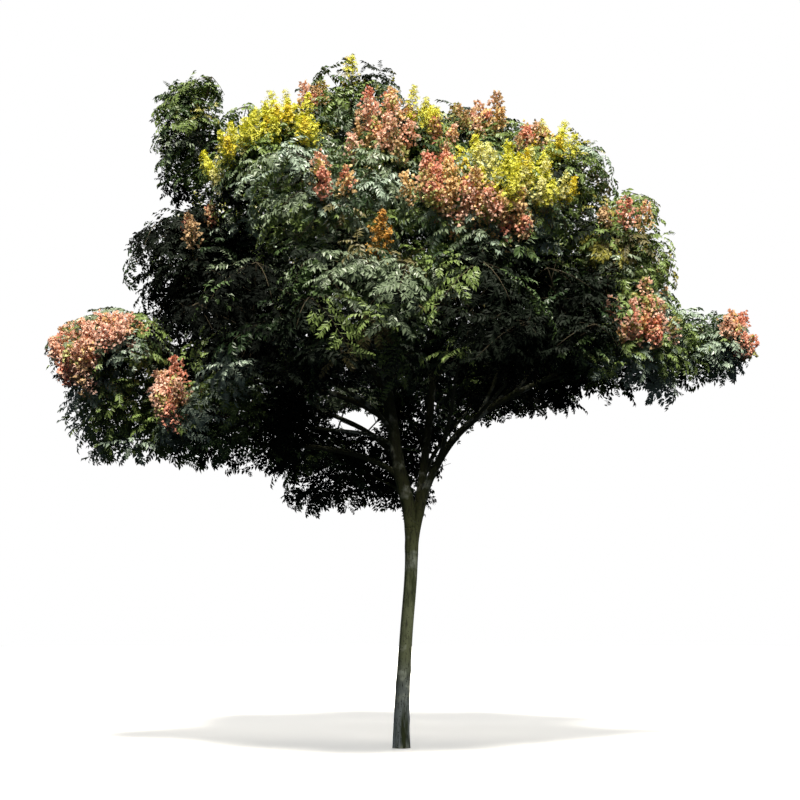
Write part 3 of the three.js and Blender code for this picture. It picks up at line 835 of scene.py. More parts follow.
# What each part of the crown adds to these weights: lighter greens that are painted light where the crown is
# lit, and near-black greens that are painted shade in its recesses and underside. Zones with painted shade
# hold at the front only.
LEAF_ZONES = (
    # The top, the high shoot on the left, and the brow under the panicles: some yellow-green, and lighter
    # greens that are painted light
    Zone((-1900.0, FAR), (6400.0, FAR), {Leaf.LIGHT: 4.0, Leaf.YELLOW: 1.0, Leaf.MIDDLE: 1.0}),
    Zone((-FAR, -1900.0), (7000.0, FAR), {Leaf.LIGHT: 8.0, Leaf.MIDDLE: 3.0, Leaf.GREY: 3.0}),
    Zone((-2200.0, 1700.0), (5800.0, 7000.0), {Leaf.LIGHT: 18.0, Leaf.GREY: 14.0, Leaf.PAINTED_LIGHT_SILVER: 14.0}),
    # The tiers in the middle: lighter greens painted as light on them, and painted shade between them
    Zone((-1500.0, 850.0), (4600.0, 5800.0), {Leaf.GREY: 3.0, Leaf.LIGHT: 1.5, Leaf.SHADE: 4.0}, 0.0),
    # The right: lighter greens painted as light on shoulder and arm, with some olive and yellow-green, and
    # painted shade in the recess
    Zone(
        (1500.0, FAR),
        (5900.0, FAR),
        {Leaf.LIGHT: 9.0, Leaf.OLIVE: 2.0, Leaf.YELLOW: 1.6, Leaf.PAINTED_LIGHT_SILVER: 3.0},
    ),
    Zone((2450.0, FAR), (4300.0, 5900.0), {Leaf.LIGHT: 16.0, Leaf.OLIVE: 1.5, Leaf.PAINTED_LIGHT_SILVER: 28.0}),
    Zone((850.0, 2450.0), (3000.0, 5800.0), {Leaf.SHADE: 60.0, Leaf.DEEP: 5.0}, 1200.0),
    # The left: near-black painted shade in the recess and on the flank
    Zone(
        (-3000.0, -1450.0),
        (4500.0, 5900.0),
        {Leaf.PAINTED_DEEP_SHADE: 110.0, Leaf.SHADE: 10.0, Leaf.DEEP: 5.0},
        600.0,
    ),
    Zone(
        (-FAR, -1900.0),
        (5300.0, 6900.0),
        {Leaf.PAINTED_DEEP_SHADE: 25.0, Leaf.SHADE: 35.0, Leaf.DEEP: 5.0},
        600.0,
    ),
    # Painted shade on the underside over the fork and low on the left, and lighter greens painted as light on
    # the lower left above it
    Zone((-1850.0, 900.0), (2500.0, 4500.0), {Leaf.SHADE: 16.0}, 1900.0),
    Zone((-FAR, -2650.0), (3000.0, 4800.0), {Leaf.PAINTED_LIGHT_SILVER: 16.0, Leaf.LIGHT: 24.0}),
    Zone((-2650.0, -1850.0), (3900.0, 4800.0), {Leaf.PAINTED_LIGHT_SILVER: 16.0, Leaf.LIGHT: 24.0}),
    Zone((-2650.0, -1850.0), (2500.0, 3900.0), {Leaf.SHADE: 16.0, Leaf.DEEP: 5.0}, 900.0),
)

# The colours of panicles. The first zone that holds a panicle counts.
RIPE = {Capsule.BROWN: 3.0, Capsule.ORANGE: 2.0, Capsule.RED: 1.0}
BLOOM_ZONES = {
    GOLD: (
        Zone(ANYWHERE, (-math.inf, 6200.0), {Petal.AMBER: 4.0, Petal.GOLD: 1.0}),
        Zone((900.0, math.inf), ANYWHERE, {Petal.LEMON: 4.0, Petal.GOLD: 1.2, Petal.PALE: 2.5}),
        Zone(ANYWHERE, ANYWHERE, {Petal.LEMON: 4.0, Petal.GOLD: 1.2, Petal.PALE: 1.0}),
    ),
    FRUIT: (
        Zone((400.0, math.inf), (7400.0, math.inf), RIPE),
        Zone((1200.0, math.inf), (6000.0, math.inf), RIPE),
        # High on the left flank the capsules are brown and red. Their darker colour there is partly painted
        # shade.
        Zone((-math.inf, -1900.0), (5700.0, math.inf), {Capsule.BROWN: 2.0, Capsule.RED: 1.0}),
        Zone(
            ANYWHERE,
            (-math.inf, 5700.0),
            {Capsule.SALMON: 5.0, Capsule.PINK: 3.0, Capsule.RED: 2.4, Capsule.ORANGE: 1.0},
        ),
        Zone(
            ANYWHERE,
            ANYWHERE,
            {Capsule.SALMON: 3.0, Capsule.ORANGE: 3.4, Capsule.RED: 2.8, Capsule.BROWN: 1.2},
        ),
    ),
}


@dataclass
class Skeleton:
    """The trunk, limbs and boughs, and the masses that they carry."""

    trunk_radius: float = 76.0
    flare_radius: float = 34.0
    flare_height: float = 620.0
    fork_swell: float = 12.0
    fork_swell_power: int = 6  # keeps the swelling close under the fork
    fork_height: float = 2700.0
    tip_radius: float = 26.0
    taper: float = 0.7
    bough_radius: float = 17.0
    bough_thickening: float = 0.009
    bough_limb_share: float = 0.62
    bough_tip_share: float = 0.5
    bough_follows: float = 0.7
    bough_handles: tuple[float, float] = (0.36, 0.3)
    entry_share: float = 0.82
    stretches: int = 14  # straight stretches that stand for a limb in tests of clearance
    line_places: int = 25  # places at which a line is tested
    # For each limb: its radius at the root, the mass that it feeds, and the points that it passes.
    paths: dict[str, tuple[float, str, tuple[tuple[float, float, float], ...]]] = field(
        default_factory=lambda: {
            "leader": (
                90.0,
                "crest_peak",
                (
                    (0, 0, -200),
                    (8, 0, 450),
                    (62, 0, 1350),
                    (126, 0, 2200),
                    (122, 10, 2800),
                    (-20, 40, 3450),
                    (-130, 90, 4150),
                    (-280, 170, 5100),
                    (-500, 300, 6200),
                ),
            ),
            "right": (
                56.0,
                "low_right",
                (
                    (130, -5, 2380),
                    (215, -30, 2800),
                    (360, -70, 3300),
                    (680, -120, 3830),
                    (1150, -160, 4220),
                    (1800, -200, 4560),
                ),
            ),
            "middle": (
                58.0,
                "crest_right",
                (
                    (135, 10, 2560),
                    (230, 110, 3050),
                    (330, 300, 3800),
                    (430, 430, 4700),
                    (620, 380, 5700),
                ),
            ),
        }
    )

    def __post_init__(self) -> None:
        """Lays out the masses, then the limbs and the boughs that reach them."""
        self.masses = [
            Mass(name, np.array(at, float), np.array(size, float), limb, height, index)
            for index, (name, at, size, limb, height) in enumerate(MASS_ROWS)
        ]
        for mass in self.masses:
            mass.meet(self.masses)
        self.named = {mass.name: mass for mass in self.masses}
        self.limbs = {name: self.limb(name) for name in self.paths}
        leader = self.limbs["leader"]
        self.trunk = Limb("trunk", leader.curve, self.trunk_radius_at, 0.0, leader.start)
        self.boughs = [self.bough(mass, self.limbs[mass.limb]) for mass in self.masses if mass.limb]
        self.carriers = [*self.limbs.values(), *self.boughs]
        self.lay_stretches()

    def trunk_radius_at(self, share: Array) -> Array:
        """Gives the trunk's radius, with its root flare and the swelling under the fork.

        Args:
            share: The shares of the leader's length.

        Returns:
            The radius at each.
        """
        height = np.maximum(0, self.limbs["leader"].curve.at(share)[..., 2])
        flare = self.flare_radius * np.exp(-height / self.flare_height)
        swell = self.fork_swell * (height / self.fork_height) ** self.fork_swell_power
        return self.trunk_radius + flare + swell

    def limb(self, name: str) -> Limb:
        """Makes one of the limbs, from the fork to the mass that it feeds.

        Args:
            name: Its name in the paths.

        Returns:
            The limb.
        """
        radius, feeds, path = self.paths[name]
        points = np.array(path, float)
        points = np.vstack((points, self.named[feeds].entry(points[-1], self.entry_share)))
        curve = Curve.through(points)
        start = curve.share_at_height(self.fork_height) if name == "leader" else 0.0

        def radius_at(share: Array) -> Array:
            """Gives the limb's radius, which keeps up at first and tapers faster near the tip."""
            left = np.clip((1 - share) / (1 - start), 0, 1)
            return self.tip_radius + (radius - self.tip_radius) * left**self.taper

        return Limb(f"limb_{name}", curve, radius_at, start, mass=self.named[feeds])

    def bough(self, mass: Mass, limb: Limb) -> Limb:
        """Makes a bough, which leaves its limb at a sharp angle and bends over to its mass.

        Args:
            mass: The mass that it carries.
            limb: The limb that it leaves.

        Returns:
            The bough.
        """
        along = limb.curve.share_at_height(mass.height)
        root = limb.curve.at(along)
        tip = mass.entry(root, self.entry_share)
        length = float(np.linalg.norm(tip - root))
        first = unit(limb.curve.tangent(along) * self.bough_follows + (tip - root) / length)
        last = unit(mass.centre - tip)
        near, far = self.bough_handles
        curve = Curve.bent(root, root + first * near * length, tip - last * far * length, tip)
        thickest = self.bough_limb_share * float(limb.radius_at(along))
        radius = min(thickest, self.bough_radius + self.bough_thickening * length)

        def radius_at(share: Array) -> Array:
            """Gives the bough's radius."""
            return radius * (1 - (1 - self.bough_tip_share) * share)

        return Limb(f"bough_{mass.name}", curve, radius_at, mass=mass, limb=limb)

    def lay_stretches(self) -> None:
        """Takes every limb as straight stretches, to keep twigs and leaves clear of them."""
        starts, ends, radii = [], [], []
        for limb in (self.trunk, *self.carriers):
            shares = np.linspace(limb.start, limb.end, self.stretches + 1)
            places = limb.curve.at(shares)
            starts.append(places[:-1])
            ends.append(places[1:])
            radii.append(limb.radius_at(shares[:-1]))
        self.starts, self.radii = np.concatenate(starts), np.concatenate(radii)
        self.ways = np.concatenate(ends) - self.starts

    def clearance(self, places: Array) -> Array:
        """Gives how far each place lies from the nearest bark.

        Args:
            places: The places.

        Returns:
            The distance of each, which is below 0 inside a limb.
        """
        off = places[:, None] - self.starts
        along = np.sum(off * self.ways, axis=2) / np.sum(self.ways**2, axis=1)
        apart = off - np.clip(along, 0, 1)[..., None] * self.ways
        return (np.linalg.norm(apart, axis=2) - self.radii).min(axis=1)

    def line_is_clear(self, start: Array, end: Array, clearance: float) -> bool:
        """Says whether a straight line keeps its distance from all bark."""
        places = start + (end - start) * np.linspace(0, 1, self.line_places)[:, None]
        return bool((self.clearance(places) > clearance).all())

    def reach_of(self, places: Array) -> Array:
        """Gives how far out each place lies in the mass that holds it best.

        Args:
            places: The places.

        Returns:
            For each, 1 on the skin of the mass and less inside.
        """
        centres = np.array([mass.leafy_centre for mass in self.masses])
        halves = np.array([mass.leafy_half for mass in self.masses])
        return np.linalg.norm((places[:, None] - centres) / halves, axis=2).min(axis=1)


# Bark


@dataclass
class Bark:
    """The skin of trunk, limbs and boughs, with ridges, cracks, knots and collars."""

    skeleton: Skeleton
    finish: BarkFinish = BarkFinish()
    # The corners in a ring, and the millimetres from ring to ring
    trunk_grid: tuple[int, float] = (48, 18.0)
    limb_grid: tuple[int, float] = (28, 34.0)
    bough_grid: tuple[int, float] = (12, 55.0)
    fewest_rings: int = 6
    ridge_mm: float = 34.0  # from ridge to ridge round a stem
    ridge_depth: float = 0.035  # of the radius
    ridge_level: float = 0.6  # the part of a ridge that lies inside the plain radius
    fewest_ridges: int = 5
    ridge_sets: tuple[tuple[int, float], ...] = ((1, 0.6), (2, 0.4))  # how fine, and the share of the depth
    wander_mm: float = 420.0  # length over which a ridge drifts to one side
    wander: tuple[float, float] = (1.1, 0.7)  # how far it drifts on its long and its short waves, in radians
    wander_shorter: float = 2.3  # short waves in a long one
    phases: tuple[float, float] = (6.0, 3.0)  # where the waves and the ridges may start, in radians
    lobes: int = 5  # root spurs
    lobe_depth: float = 0.06
    lobe_height: float = 300.0
    lobe_turn: float = 0.8
    collar: float = 0.55  # what the swelling at a bough's root adds to its radius
    collar_reach: float = 2.2  # how far it reaches, in radii
    knot_share: float = 0.10
    knot_mm: float = 700.0  # from knot to knot
    knot_sizes: tuple[float, float] = (0.5, 1.0)  # of the stem's radius
    knot_narrowness: float = 5.0
    fewest_knots: int = 2
    seed: int = 7

    def relief(self, limb: Limb, radii: Array, sides: int) -> Array:
        """Gives what each point's radius is multiplied by.

        Args:
            limb: The limb that the skin is on.
            radii: The plain radius at each ring.
            sides: The points in a ring.

        Returns:
            Rings by sides.
        """
        random = np.random.default_rng(self.seed + len(limb.name) + int(limb.curve.length))
        along = np.linspace(limb.start, limb.end, len(radii))[:, None] * limb.curve.length
        turns = (np.arange(sides) * FULL_TURN / sides)[None]
        ridges = max(self.fewest_ridges, round(FULL_TURN * float(radii.mean()) / self.ridge_mm))
        relief = np.ones((len(radii), sides))
        long, short = self.wander
        wave_phase, ridge_phase = self.phases
        for times, weight in self.ridge_sets:
            waves = along / self.wander_mm
            drift = long * np.sin(waves * times + random.uniform(0, wave_phase, 2)[0])
            finer = waves * self.wander_shorter
            drift = drift + short * np.sin(finer * times + random.uniform(0, wave_phase))
            ridge = np.abs(np.sin((turns * ridges * times + drift) / 2 + random.uniform(0, ridge_phase)))
            relief += self.ridge_depth * weight * (ridge - self.ridge_level)
        for _ in range(max(self.fewest_knots, round(limb.curve.length / self.knot_mm))):
            middle = random.uniform(along.min(), along.max())
            size = random.uniform(*self.knot_sizes) * float(radii.mean())
            turn = random.uniform(0, FULL_TURN)
            gap = np.cos(turns - turn) - 1
            bulge = np.exp(-(((along - middle) / size) ** 2) + gap * self.knot_narrowness)
            relief += self.knot_share * bulge
        if limb.name == "trunk":
            height = np.maximum(0, limb.curve.at(along / limb.curve.length)[..., 2])
            fade = np.exp(-height / self.lobe_height)
            relief += self.lobe_depth * fade * np.cos(self.lobes * turns + self.lobe_turn)
        return relief

    def skin(self, limb: Limb, grid: tuple[int, float]) -> tuple[Array, Array]:
        """Makes the skin of one limb.

        Args:
            limb: The limb.
            grid: The corners in a ring, and the way from ring to ring.

        Returns:
            Its points and its triangles.
        """
        sides, step = grid
        length = limb.curve.length * (limb.end - limb.start)
        shares = np.linspace(limb.start, limb.end, max(self.fewest_rings, round(length / step)))
        radii = limb.radius_at(shares)
        if limb.limb or (limb.name != "trunk" and limb.start == 0.0):
            gone = (shares - shares[0]) * limb.curve.length
            radii = radii * (1 + self.collar * np.exp(-gone / (self.collar_reach * radii[0])))
        relief = self.relief(limb, radii, sides)
        return tube(limb.curve, radii, sides, limb.start, limb.end, relief)

    def build(self) -> None:
        """Makes the bark of the trunk, of the limbs and of the boughs as three pieces."""
        material = self.finish.make()
        tree = self.skeleton
        for name, limbs, grid in (
            ("trunk_bark", [tree.trunk], self.trunk_grid),
            ("limb_bark", list(tree.limbs.values()), self.limb_grid),
            ("bough_bark", tree.boughs, self.bough_grid),
        ):
            mesh = Mesh()
            for limb in limbs:
                points, corners = self.skin(limb, grid)
                points[:, 2] = np.maximum(points[:, 2], 0.0)
                mesh.add(points, corners)
            make_piece(name, mesh, material, [limb.name for limb in limbs], True)


# Foliage


@dataclass
class LeafBed:
    """The compound leaves of one spray: where each starts, how it lies, and how long it is."""

    tint: Leaf
    base: Array
    heading: Array
    normal: Array
    length: Array
    droop: Array

    LEAST_BEND = 0.01  # of a leaf that is all but straight

    def place(self, share: float) -> Array:
        """Gives the places at a share of each leaf's own bent length.

        Args:
            share: The share.

        Returns:
            One place on each leaf.
        """
        bend = np.maximum(self.droop, self.LEAST_BEND)[:, None]
        length = self.length[:, None]
        out = length * np.sin(bend * share) / bend
        down = length * (1 - np.cos(bend * share)) / bend
        return self.base + self.heading * out - self.normal * down

    def keep(self, kept: Array) -> LeafBed:
        """Gives the leaves that are kept."""
        rows = (self.base, self.heading, self.normal, self.length, self.droop)
        return LeafBed(self.tint, *(row[kept] for row in rows))


@dataclass
class CompoundLeaf:
    """A feathered leaf: pairs of leaflets along a stalk that bends down, and one leaflet at its end."""

    pairs: int = 6
    pairs_from: float = 0.24  # where the first pair stands, of the stalk's length
    pairs_to: float = 0.95
    leaflet: float = 0.27  # a leaflet's length, of the whole leaf's
    longest_at: float = 0.55  # where along the stalk the longest leaflets stand
    shorter: float = 0.9  # how fast they grow shorter away from there
    sizes: tuple[float, float] = (0.82, 1.15)  # from leaflet to leaflet
    width: float = 0.25  # half a leaflet's width, of its length
    fold: float = 0.32  # how far its edges lie above its midrib, of their distance from it
    hang: float = 0.22  # how far its tip drops, of its length
    # Angles in radians
    spread: tuple[float, float] = (1.12, 0.72)  # from the stalk, at the first pair and at the tip
    spread_differs: float = 0.10  # from leaflet to leaflet
    dip: tuple[float, float] = (0.22, 0.20)  # down from the stalk, as mean and spread
    roll: float = 0.42  # round its midrib, as spread
    stalk_mm: float = 3.2  # half the width of the stalk
    stalk_shares: tuple[float, ...] = (0.0, 0.5, 1.0)
    stalk_widths: tuple[float, ...] = (1.0, 0.8, 0.4)

    # A leaflet's outline from its base: share of its length, and of its half width to the left.
    OUTLINE = ((0, 0), (0.42, -1), (1, 0), (0.42, 1))
    CORNERS = ((0, 1, 2), (0, 2, 3))
    STALK_CORNERS = ((0, 1, 3), (0, 3, 2), (2, 3, 5), (2, 5, 4))

    def add_to(self, mesh: Mesh, bed: LeafBed, random: np.random.Generator) -> None:
        """Adds the leaves of a bed to a mesh.

        Args:
            mesh: The mesh that takes them.
            bed: The leaves.
            random: Small differences from leaflet to leaflet.
        """
        count = len(bed.base)
        shares = np.linspace(self.pairs_from, self.pairs_to, self.pairs)
        shares = np.append(np.repeat(shares, 2), 1.0)
        sides = np.append(np.tile((-1.0, 1.0), self.pairs), 0.0)
        angle = np.interp(shares, (self.pairs_from, 1), self.spread)
        angle = sides * (angle + random.normal(0, self.spread_differs, (count, len(shares))))
        bend = bed.droop[:, None] * shares
        flex = np.maximum(bed.droop, bed.LEAST_BEND)[:, None]
        left = np.cross(bed.normal, bed.heading)[:, None]
        head, up = bed.heading[:, None], bed.normal[:, None]
        along = head * np.cos(bend)[..., None] - up * np.sin(bend)[..., None]
        above = head * np.sin(bend)[..., None] + up * np.cos(bend)[..., None]
        size = bed.length[:, None]
        stand = bed.base[:, None] + head * (size * np.sin(bend) / flex)[..., None]
        stand = stand - up * (size * (1 - np.cos(bend)) / flex)[..., None]
        way = along * np.cos(angle)[..., None] + left * np.sin(angle)[..., None]
        dip = random.normal(*self.dip, angle.shape)[..., None]
        way, above = way * np.cos(dip) - above * np.sin(dip), way * np.sin(dip) + above * np.cos(dip)
        aside = np.cross(above, way)
        roll = random.normal(0, self.roll, angle.shape)[..., None]
        aside, above = (
            aside * np.cos(roll) + above * np.sin(roll),
            above * np.cos(roll) - aside * np.sin(roll),
        )
        swell = 1 - self.shorter * (shares - self.longest_at) ** 2
        span = self.leaflet * size * swell * random.uniform(*self.sizes, angle.shape)
        outline = np.array(self.OUTLINE)
        forth, across = outline[:, 0], outline[:, 1] * self.width
        lift = self.fold * np.abs(across) - self.hang * forth**2
        points = (
            way[:, :, None] * forth[:, None]
            + aside[:, :, None] * across[:, None]
            + above[:, :, None] * lift[:, None]
        )
        points = stand[:, :, None] + points * span[..., None, None]
        mesh.add_copies(points.reshape(-1, len(outline), 3), np.array(self.CORNERS))
        ribs = np.stack([bed.place(share) for share in self.stalk_shares], axis=1)
        wide = left * np.array(self.stalk_widths)[:, None] * self.stalk_mm
        strip = np.stack((ribs - wide, ribs + wide), axis=2).reshape(count, -1, 3)
        mesh.add_copies(strip, np.array(self.STALK_CORNERS))


@dataclass
class Panicle:
    """A branched head of flowers or capsules, on the tip of a twig."""

    bloom: Bloom
    root: Array
    up: Array
    length: float
    tint: Petal | Capsule


@dataclass
class Foliage:
    """The stems, twigs, leaves, blossom and fruit of every mass."""

    skeleton: Skeleton
    leaf: CompoundLeaf = field(default_factory=CompoundLeaf)
    seed: int = 41
    # Stems, twigs and sprays, as in the solids. A pair is a value and the most that is added or taken.
    heart: tuple[float, float, float] = (0.0, 0.0, 5200.0)  # stems grow away from here
    joint_gap: float = 0.3
    stem_past_middle: float = 0.22
    stem_bend_at: float = 0.5
    stem_tip: float = 0.7  # a stem's radius at its tip, of a twig's
    stem_rings: int = 9
    stem_sides: int = 7
    twig_spacing: float = 232.0
    twig_roots: tuple[float, float] = (0.95, 0.5)
    twig_rise: tuple[float, float] = (0.95, 1.6)
    twig_reach: tuple[float, float] = (0.54, 0.15)
    twig_tries: tuple[float, ...] = (1.0, 0.75, 0.5)
    twig_lift: float = 0.18
    twig_radius: float = 15.0
    twig_tip_radius: float = 9.0
    twig_rings: int = 8
    twig_sides: int = 5
    twig_bend_at: float = 0.6
    twig_upturn: float = 0.2
    twig_lean: float = 0.5
    twig_upright: tuple[float, float] = (0.6, 0.3)
    sprays_per_twig: int = 5
    spray_length: float = 1050.0
    spray_shortest: float = 0.8
    spray_half_width: float = 0.27
    spray_widest_at: float = 0.45
    spray_droop: tuple[float, float] = (0.36, 0.54)
    spray_shoulder_sag: float = 0.6
    spray_tries: tuple[float, ...] = (1.0, 0.82, 0.64, 0.46)
    spray_jitter: float = 0.08
    bark_clearance: float = 45.0
    fewest_sprays: int = 2
    # The leaves of a spray, along its shoot. Angles are in radians, as mean and spread.
    shoot_bare: float = 0.14  # the share of a shoot before its first leaf
    shoot_leaves: int = 3  # the fewest
    shoot_tip_radius: float = 2.0
    shoot_turn: tuple[float, float] = (0.95, 0.14)  # from the shoot
    shoot_pitch: tuple[float, float] = (0.30, 0.16)  # up from the spray
    shoot_droop: tuple[float, float] = (0.95, 0.22)
    shoot_droops: tuple[float, float] = (0.3, 1.6)  # the least and the most
    shoot_shares: tuple[float, ...] = (0.0, 0.4, 1.0)
    shoot_lengths: tuple[float, ...] = (0.9, 1.0, 0.8)  # of a leaf at these shares
    # Finer twigs between them
    fine_spacing: float = 36.0
    fine_reach: tuple[float, float] = (0.50, 0.44)
    fine_rise: tuple[float, float] = (0.96, 1.84)
    fine_upright: tuple[float, float] = (0.5, 1.0)
    fine_radius: float = 6.5
    fine_tip_radius: float = 2.5
    fine_rings: int = 5
    fine_sides: int = 3
    tiers: int = 4  # the finer twigs of a mass lie in so many tiers
    tier_middle: tuple[float, float] = (0.4, 0.6)  # the part of a tier that they keep to
    fine_leaves: int = 9
    fewest_leaves: int = 3  # a finer twig with room for fewer is left out
    foothold_span: tuple[float, float] = (0.2, 0.9)  # the part of a stem or twig that finer twigs leave
    foothold_count: int = 15
    foothold_stem: float = 0.6  # the way along the stem to a twig, of the stem's length
    foothold_cost: float = 0.35  # what the way to a foothold counts beside its distance
    # The leaves round the tip of a finer twig
    rosette_rise: tuple[float, float] = (0.75, 0.95)  # the first leaf's, and how much lower the last is
    rosette_rise_differs: float = 0.12
    rosette_span: float = 0.25  # the share of the twig that they stand on
    rosette_droop: tuple[float, float] = (0.8, 0.25)
    rosette_droops: tuple[float, float] = (0.3, 1.7)
    # Every leaf
    leaf_length: tuple[float, float] = (250.0, 345.0)
    leaf_step: float = 62.0  # from leaf to leaf along a spray
    leaf_shrink: float = 0.74  # a leaf that has no room is tried so much shorter
    leaf_tries: int = 3
    outermost: float = 0.97  # leaves keep to this share of a mass
    reach_tests: tuple[float, float] = (0.6, 1.0)  # where along a leaf its reach is tested
    bark_tests: tuple[float, float] = (0.5, 1.0)
    sky_test: float = 0.8
    # Panicles
    bloom_length: dict[Bloom, tuple[float, float]] = field(
        default_factory=lambda: {Bloom.GOLD: (330.0, 620.0), Bloom.FRUIT: (280.0, 500.0)}
    )
    bloom_top: tuple[float, float] = (0.80, 1.04)  # where a panicle ends, as a share of its mass
    bloom_stray: tuple[float, float] = (0.7, 1.25)  # how far a panicle may stand from its even place
    bloom_lean: float = 0.5  # how far it leans out, beside growing up
    bloom_bare: float = 0.92  # leaves keep to this share of a mass where its panicles stand
    bloom_past: float = 1.1  # past this share there are no panicles to keep clear of
    bloom_leaves: int = 8
    bloom_guide: tuple[float, float, float] = (1.0, 0.1, 0.0)  # from here the panicles are counted round
    # How dense the finer twigs are
    thicker_below: float = 5400.0  # shaded masses below this height have more twigs
    thicker: float = 1.45
    thickest: dict[str, float] = field(
        default_factory=lambda: {
            "inner_left": 3.5,
            "low_left": 2.1,
            "arm_left_low": 1.9,
            "spire_left": 1.8,
            "flank_left": 2.0,
            "low_right": 2.4,
            "back_far_right": 1.3,
            "back_low_middle": 1.9,
            "back_low_right": 1.9,
        }
    )
    # The open sky
    sky_share: float = 0.3  # a twig may cross the sky with so much of its length
    roundness: float = 3.0  # the power in an opening's outline: 2 gives an ellipse, more squarer corners

    def __post_init__(self) -> None:
        """Starts with nothing grown."""
        self.twigs = Mesh()
        self.beds: list[LeafBed] = []
        self.panicles: list[Panicle] = []
        self.random = np.random.default_rng(self.seed)

    def stem(self, mass: Mass, bough: Limb) -> Curve:
        """Makes the stem, from the bough's tip past the middle of the mass and away from the heart.

        Args:
            mass: The mass.
            bough: The bough or limb that carries it.

        Returns:
            The stem's line.
        """
        first = bough.curve.tangent(1.0)
        start = bough.curve.at(1.0) + first * self.joint_gap
        away = unit(mass.centre - np.array(self.heart))
        end = mass.centre + away * mass.half * self.stem_past_middle
        bend = start + first * self.stem_bend_at * np.linalg.norm(end - start)
        return Curve.bent(start, bend, end)

    def lay_twig(self, root: Array, tip: Array, upright: float, phase: float) -> Twig | None:
        """Makes a twig that turns up at its tip.

        Args:
            root: Where it starts.
            tip: Where it ends.
            upright: How far its leaves' axis is turned up.
            phase: The angle at which its leaves start.

        Returns:
            The twig, or None where it would touch a limb or hide the sky.
        """
        reach = float(np.linalg.norm(tip - root))
        bend = root + (tip - root) * self.twig_bend_at
        bend[2] = min(bend[2], tip[2] - self.twig_upturn * reach)
        clear = self.skeleton.line_is_clear
        if not clear(root, bend, self.bark_clearance) or not clear(bend, tip, self.bark_clearance):
            return None
        curve = Curve.bent(root, bend, tip)
        if self.hides_sky(curve.places).mean() > self.sky_share:
            return None
        run = unit(tip - root)
        axis = unit(run * self.twig_lean + UP * upright)
        return Twig(curve, tip, axis, unit(np.cross(UP, run)), phase)

    def grow_twigs(self, mass: Mass, stem: Curve, random: Stream) -> list[Twig]:
        """Makes the twigs of a mass, spread evenly round its middle from the top down.

        Args:
            mass: The mass.
            stem: Its stem.
            random: The stream of the mass.

        Returns:
            The twigs that have room.
        """
        count = round(mass.radius / self.twig_spacing)
        phase = random() * FULL_TURN
        middle = mass.centre + UP * self.twig_lift * mass.half[2]
        grown = []
        for i in range(count):
            turn = phase + i * GOLDEN_ANGLE
            share = (i + 0.5) / count
            rise = self.twig_rise[0] - self.twig_rise[1] * share
            way = direction(turn, rise) * mass.half
            reach = self.twig_reach[0] + self.twig_reach[1] * random()
            upright = self.twig_upright[0] + self.twig_upright[1] * random()
            leaf_phase = random() * FULL_TURN
            tips = [middle + way * part * reach for part in self.twig_tries]
            tip = next((place for place in tips if mass.holds(place)), None)
            if tip is None:
                continue
            root = stem.at(self.twig_roots[0] - self.twig_roots[1] * share)
            twig = self.lay_twig(root, tip, upright, leaf_phase)
            if twig:
                grown.append(twig)
        return grown

    def grow_sprays(self, mass: Mass, twig: Twig, random: Stream) -> None:
        """Lays the sprays round a twig's tip: left, tip and right corner of each, as in the solids.

        Args:
            mass: The mass that holds them.
            twig: The twig, which takes the sprays that have room.
            random: The stream of the mass.
        """
        spread = math.atan2(self.spray_half_width, self.spray_widest_at)
        for i in range(self.sprays_per_twig):
            step = i + self.spray_jitter * (random() - 0.5)
            turn = twig.phase + step * FULL_TURN / self.sprays_per_twig
            shortest = self.spray_shortest
            length = self.spray_length * (shortest + (1 - shortest) * random())
            droop = self.spray_droop[0] + self.spray_droop[1] * random()
            sag = self.spray_shoulder_sag * droop
            for share in self.spray_tries:
                shoulder = share * length * math.hypot(self.spray_half_width, self.spray_widest_at)
                out, drop = shoulder * math.cos(sag), shoulder * math.sin(sag)
                far = share * length
                corners = np.array(
                    (
                        twig.corner(turn - spread, out, drop),
                        twig.corner(turn, far * math.cos(droop), far * math.sin(droop)),
                        twig.corner(turn + spread, out, drop),
                    )
                )
                if mass.holds(corners) and all(
                    self.skeleton.line_is_clear(twig.tip, corner, self.bark_clearance) for corner in corners
                ):
                    twig.sprays.append(corners)
                    break

    def tint_at(self, place: Array, sunlit: bool) -> Leaf:
        """Deals out the colour of a spray, with the light and shade that its tier and place paint into it.

        Args:
            place: Its place.
            sunlit: True on the tiers, which take lighter greens as painted light, and False between them,
                where darker greens paint shade.

        Returns:
            The colour.
        """
        weights = {tint: sun if sunlit else shade for tint, (sun, shade) in LEAF_WEIGHTS.items()}
        for zone in LEAF_ZONES:
            if zone.holds(place):
                for tint, weight in zone.colours.items():
                    weights[tint] += weight
        return self.deal(weights)

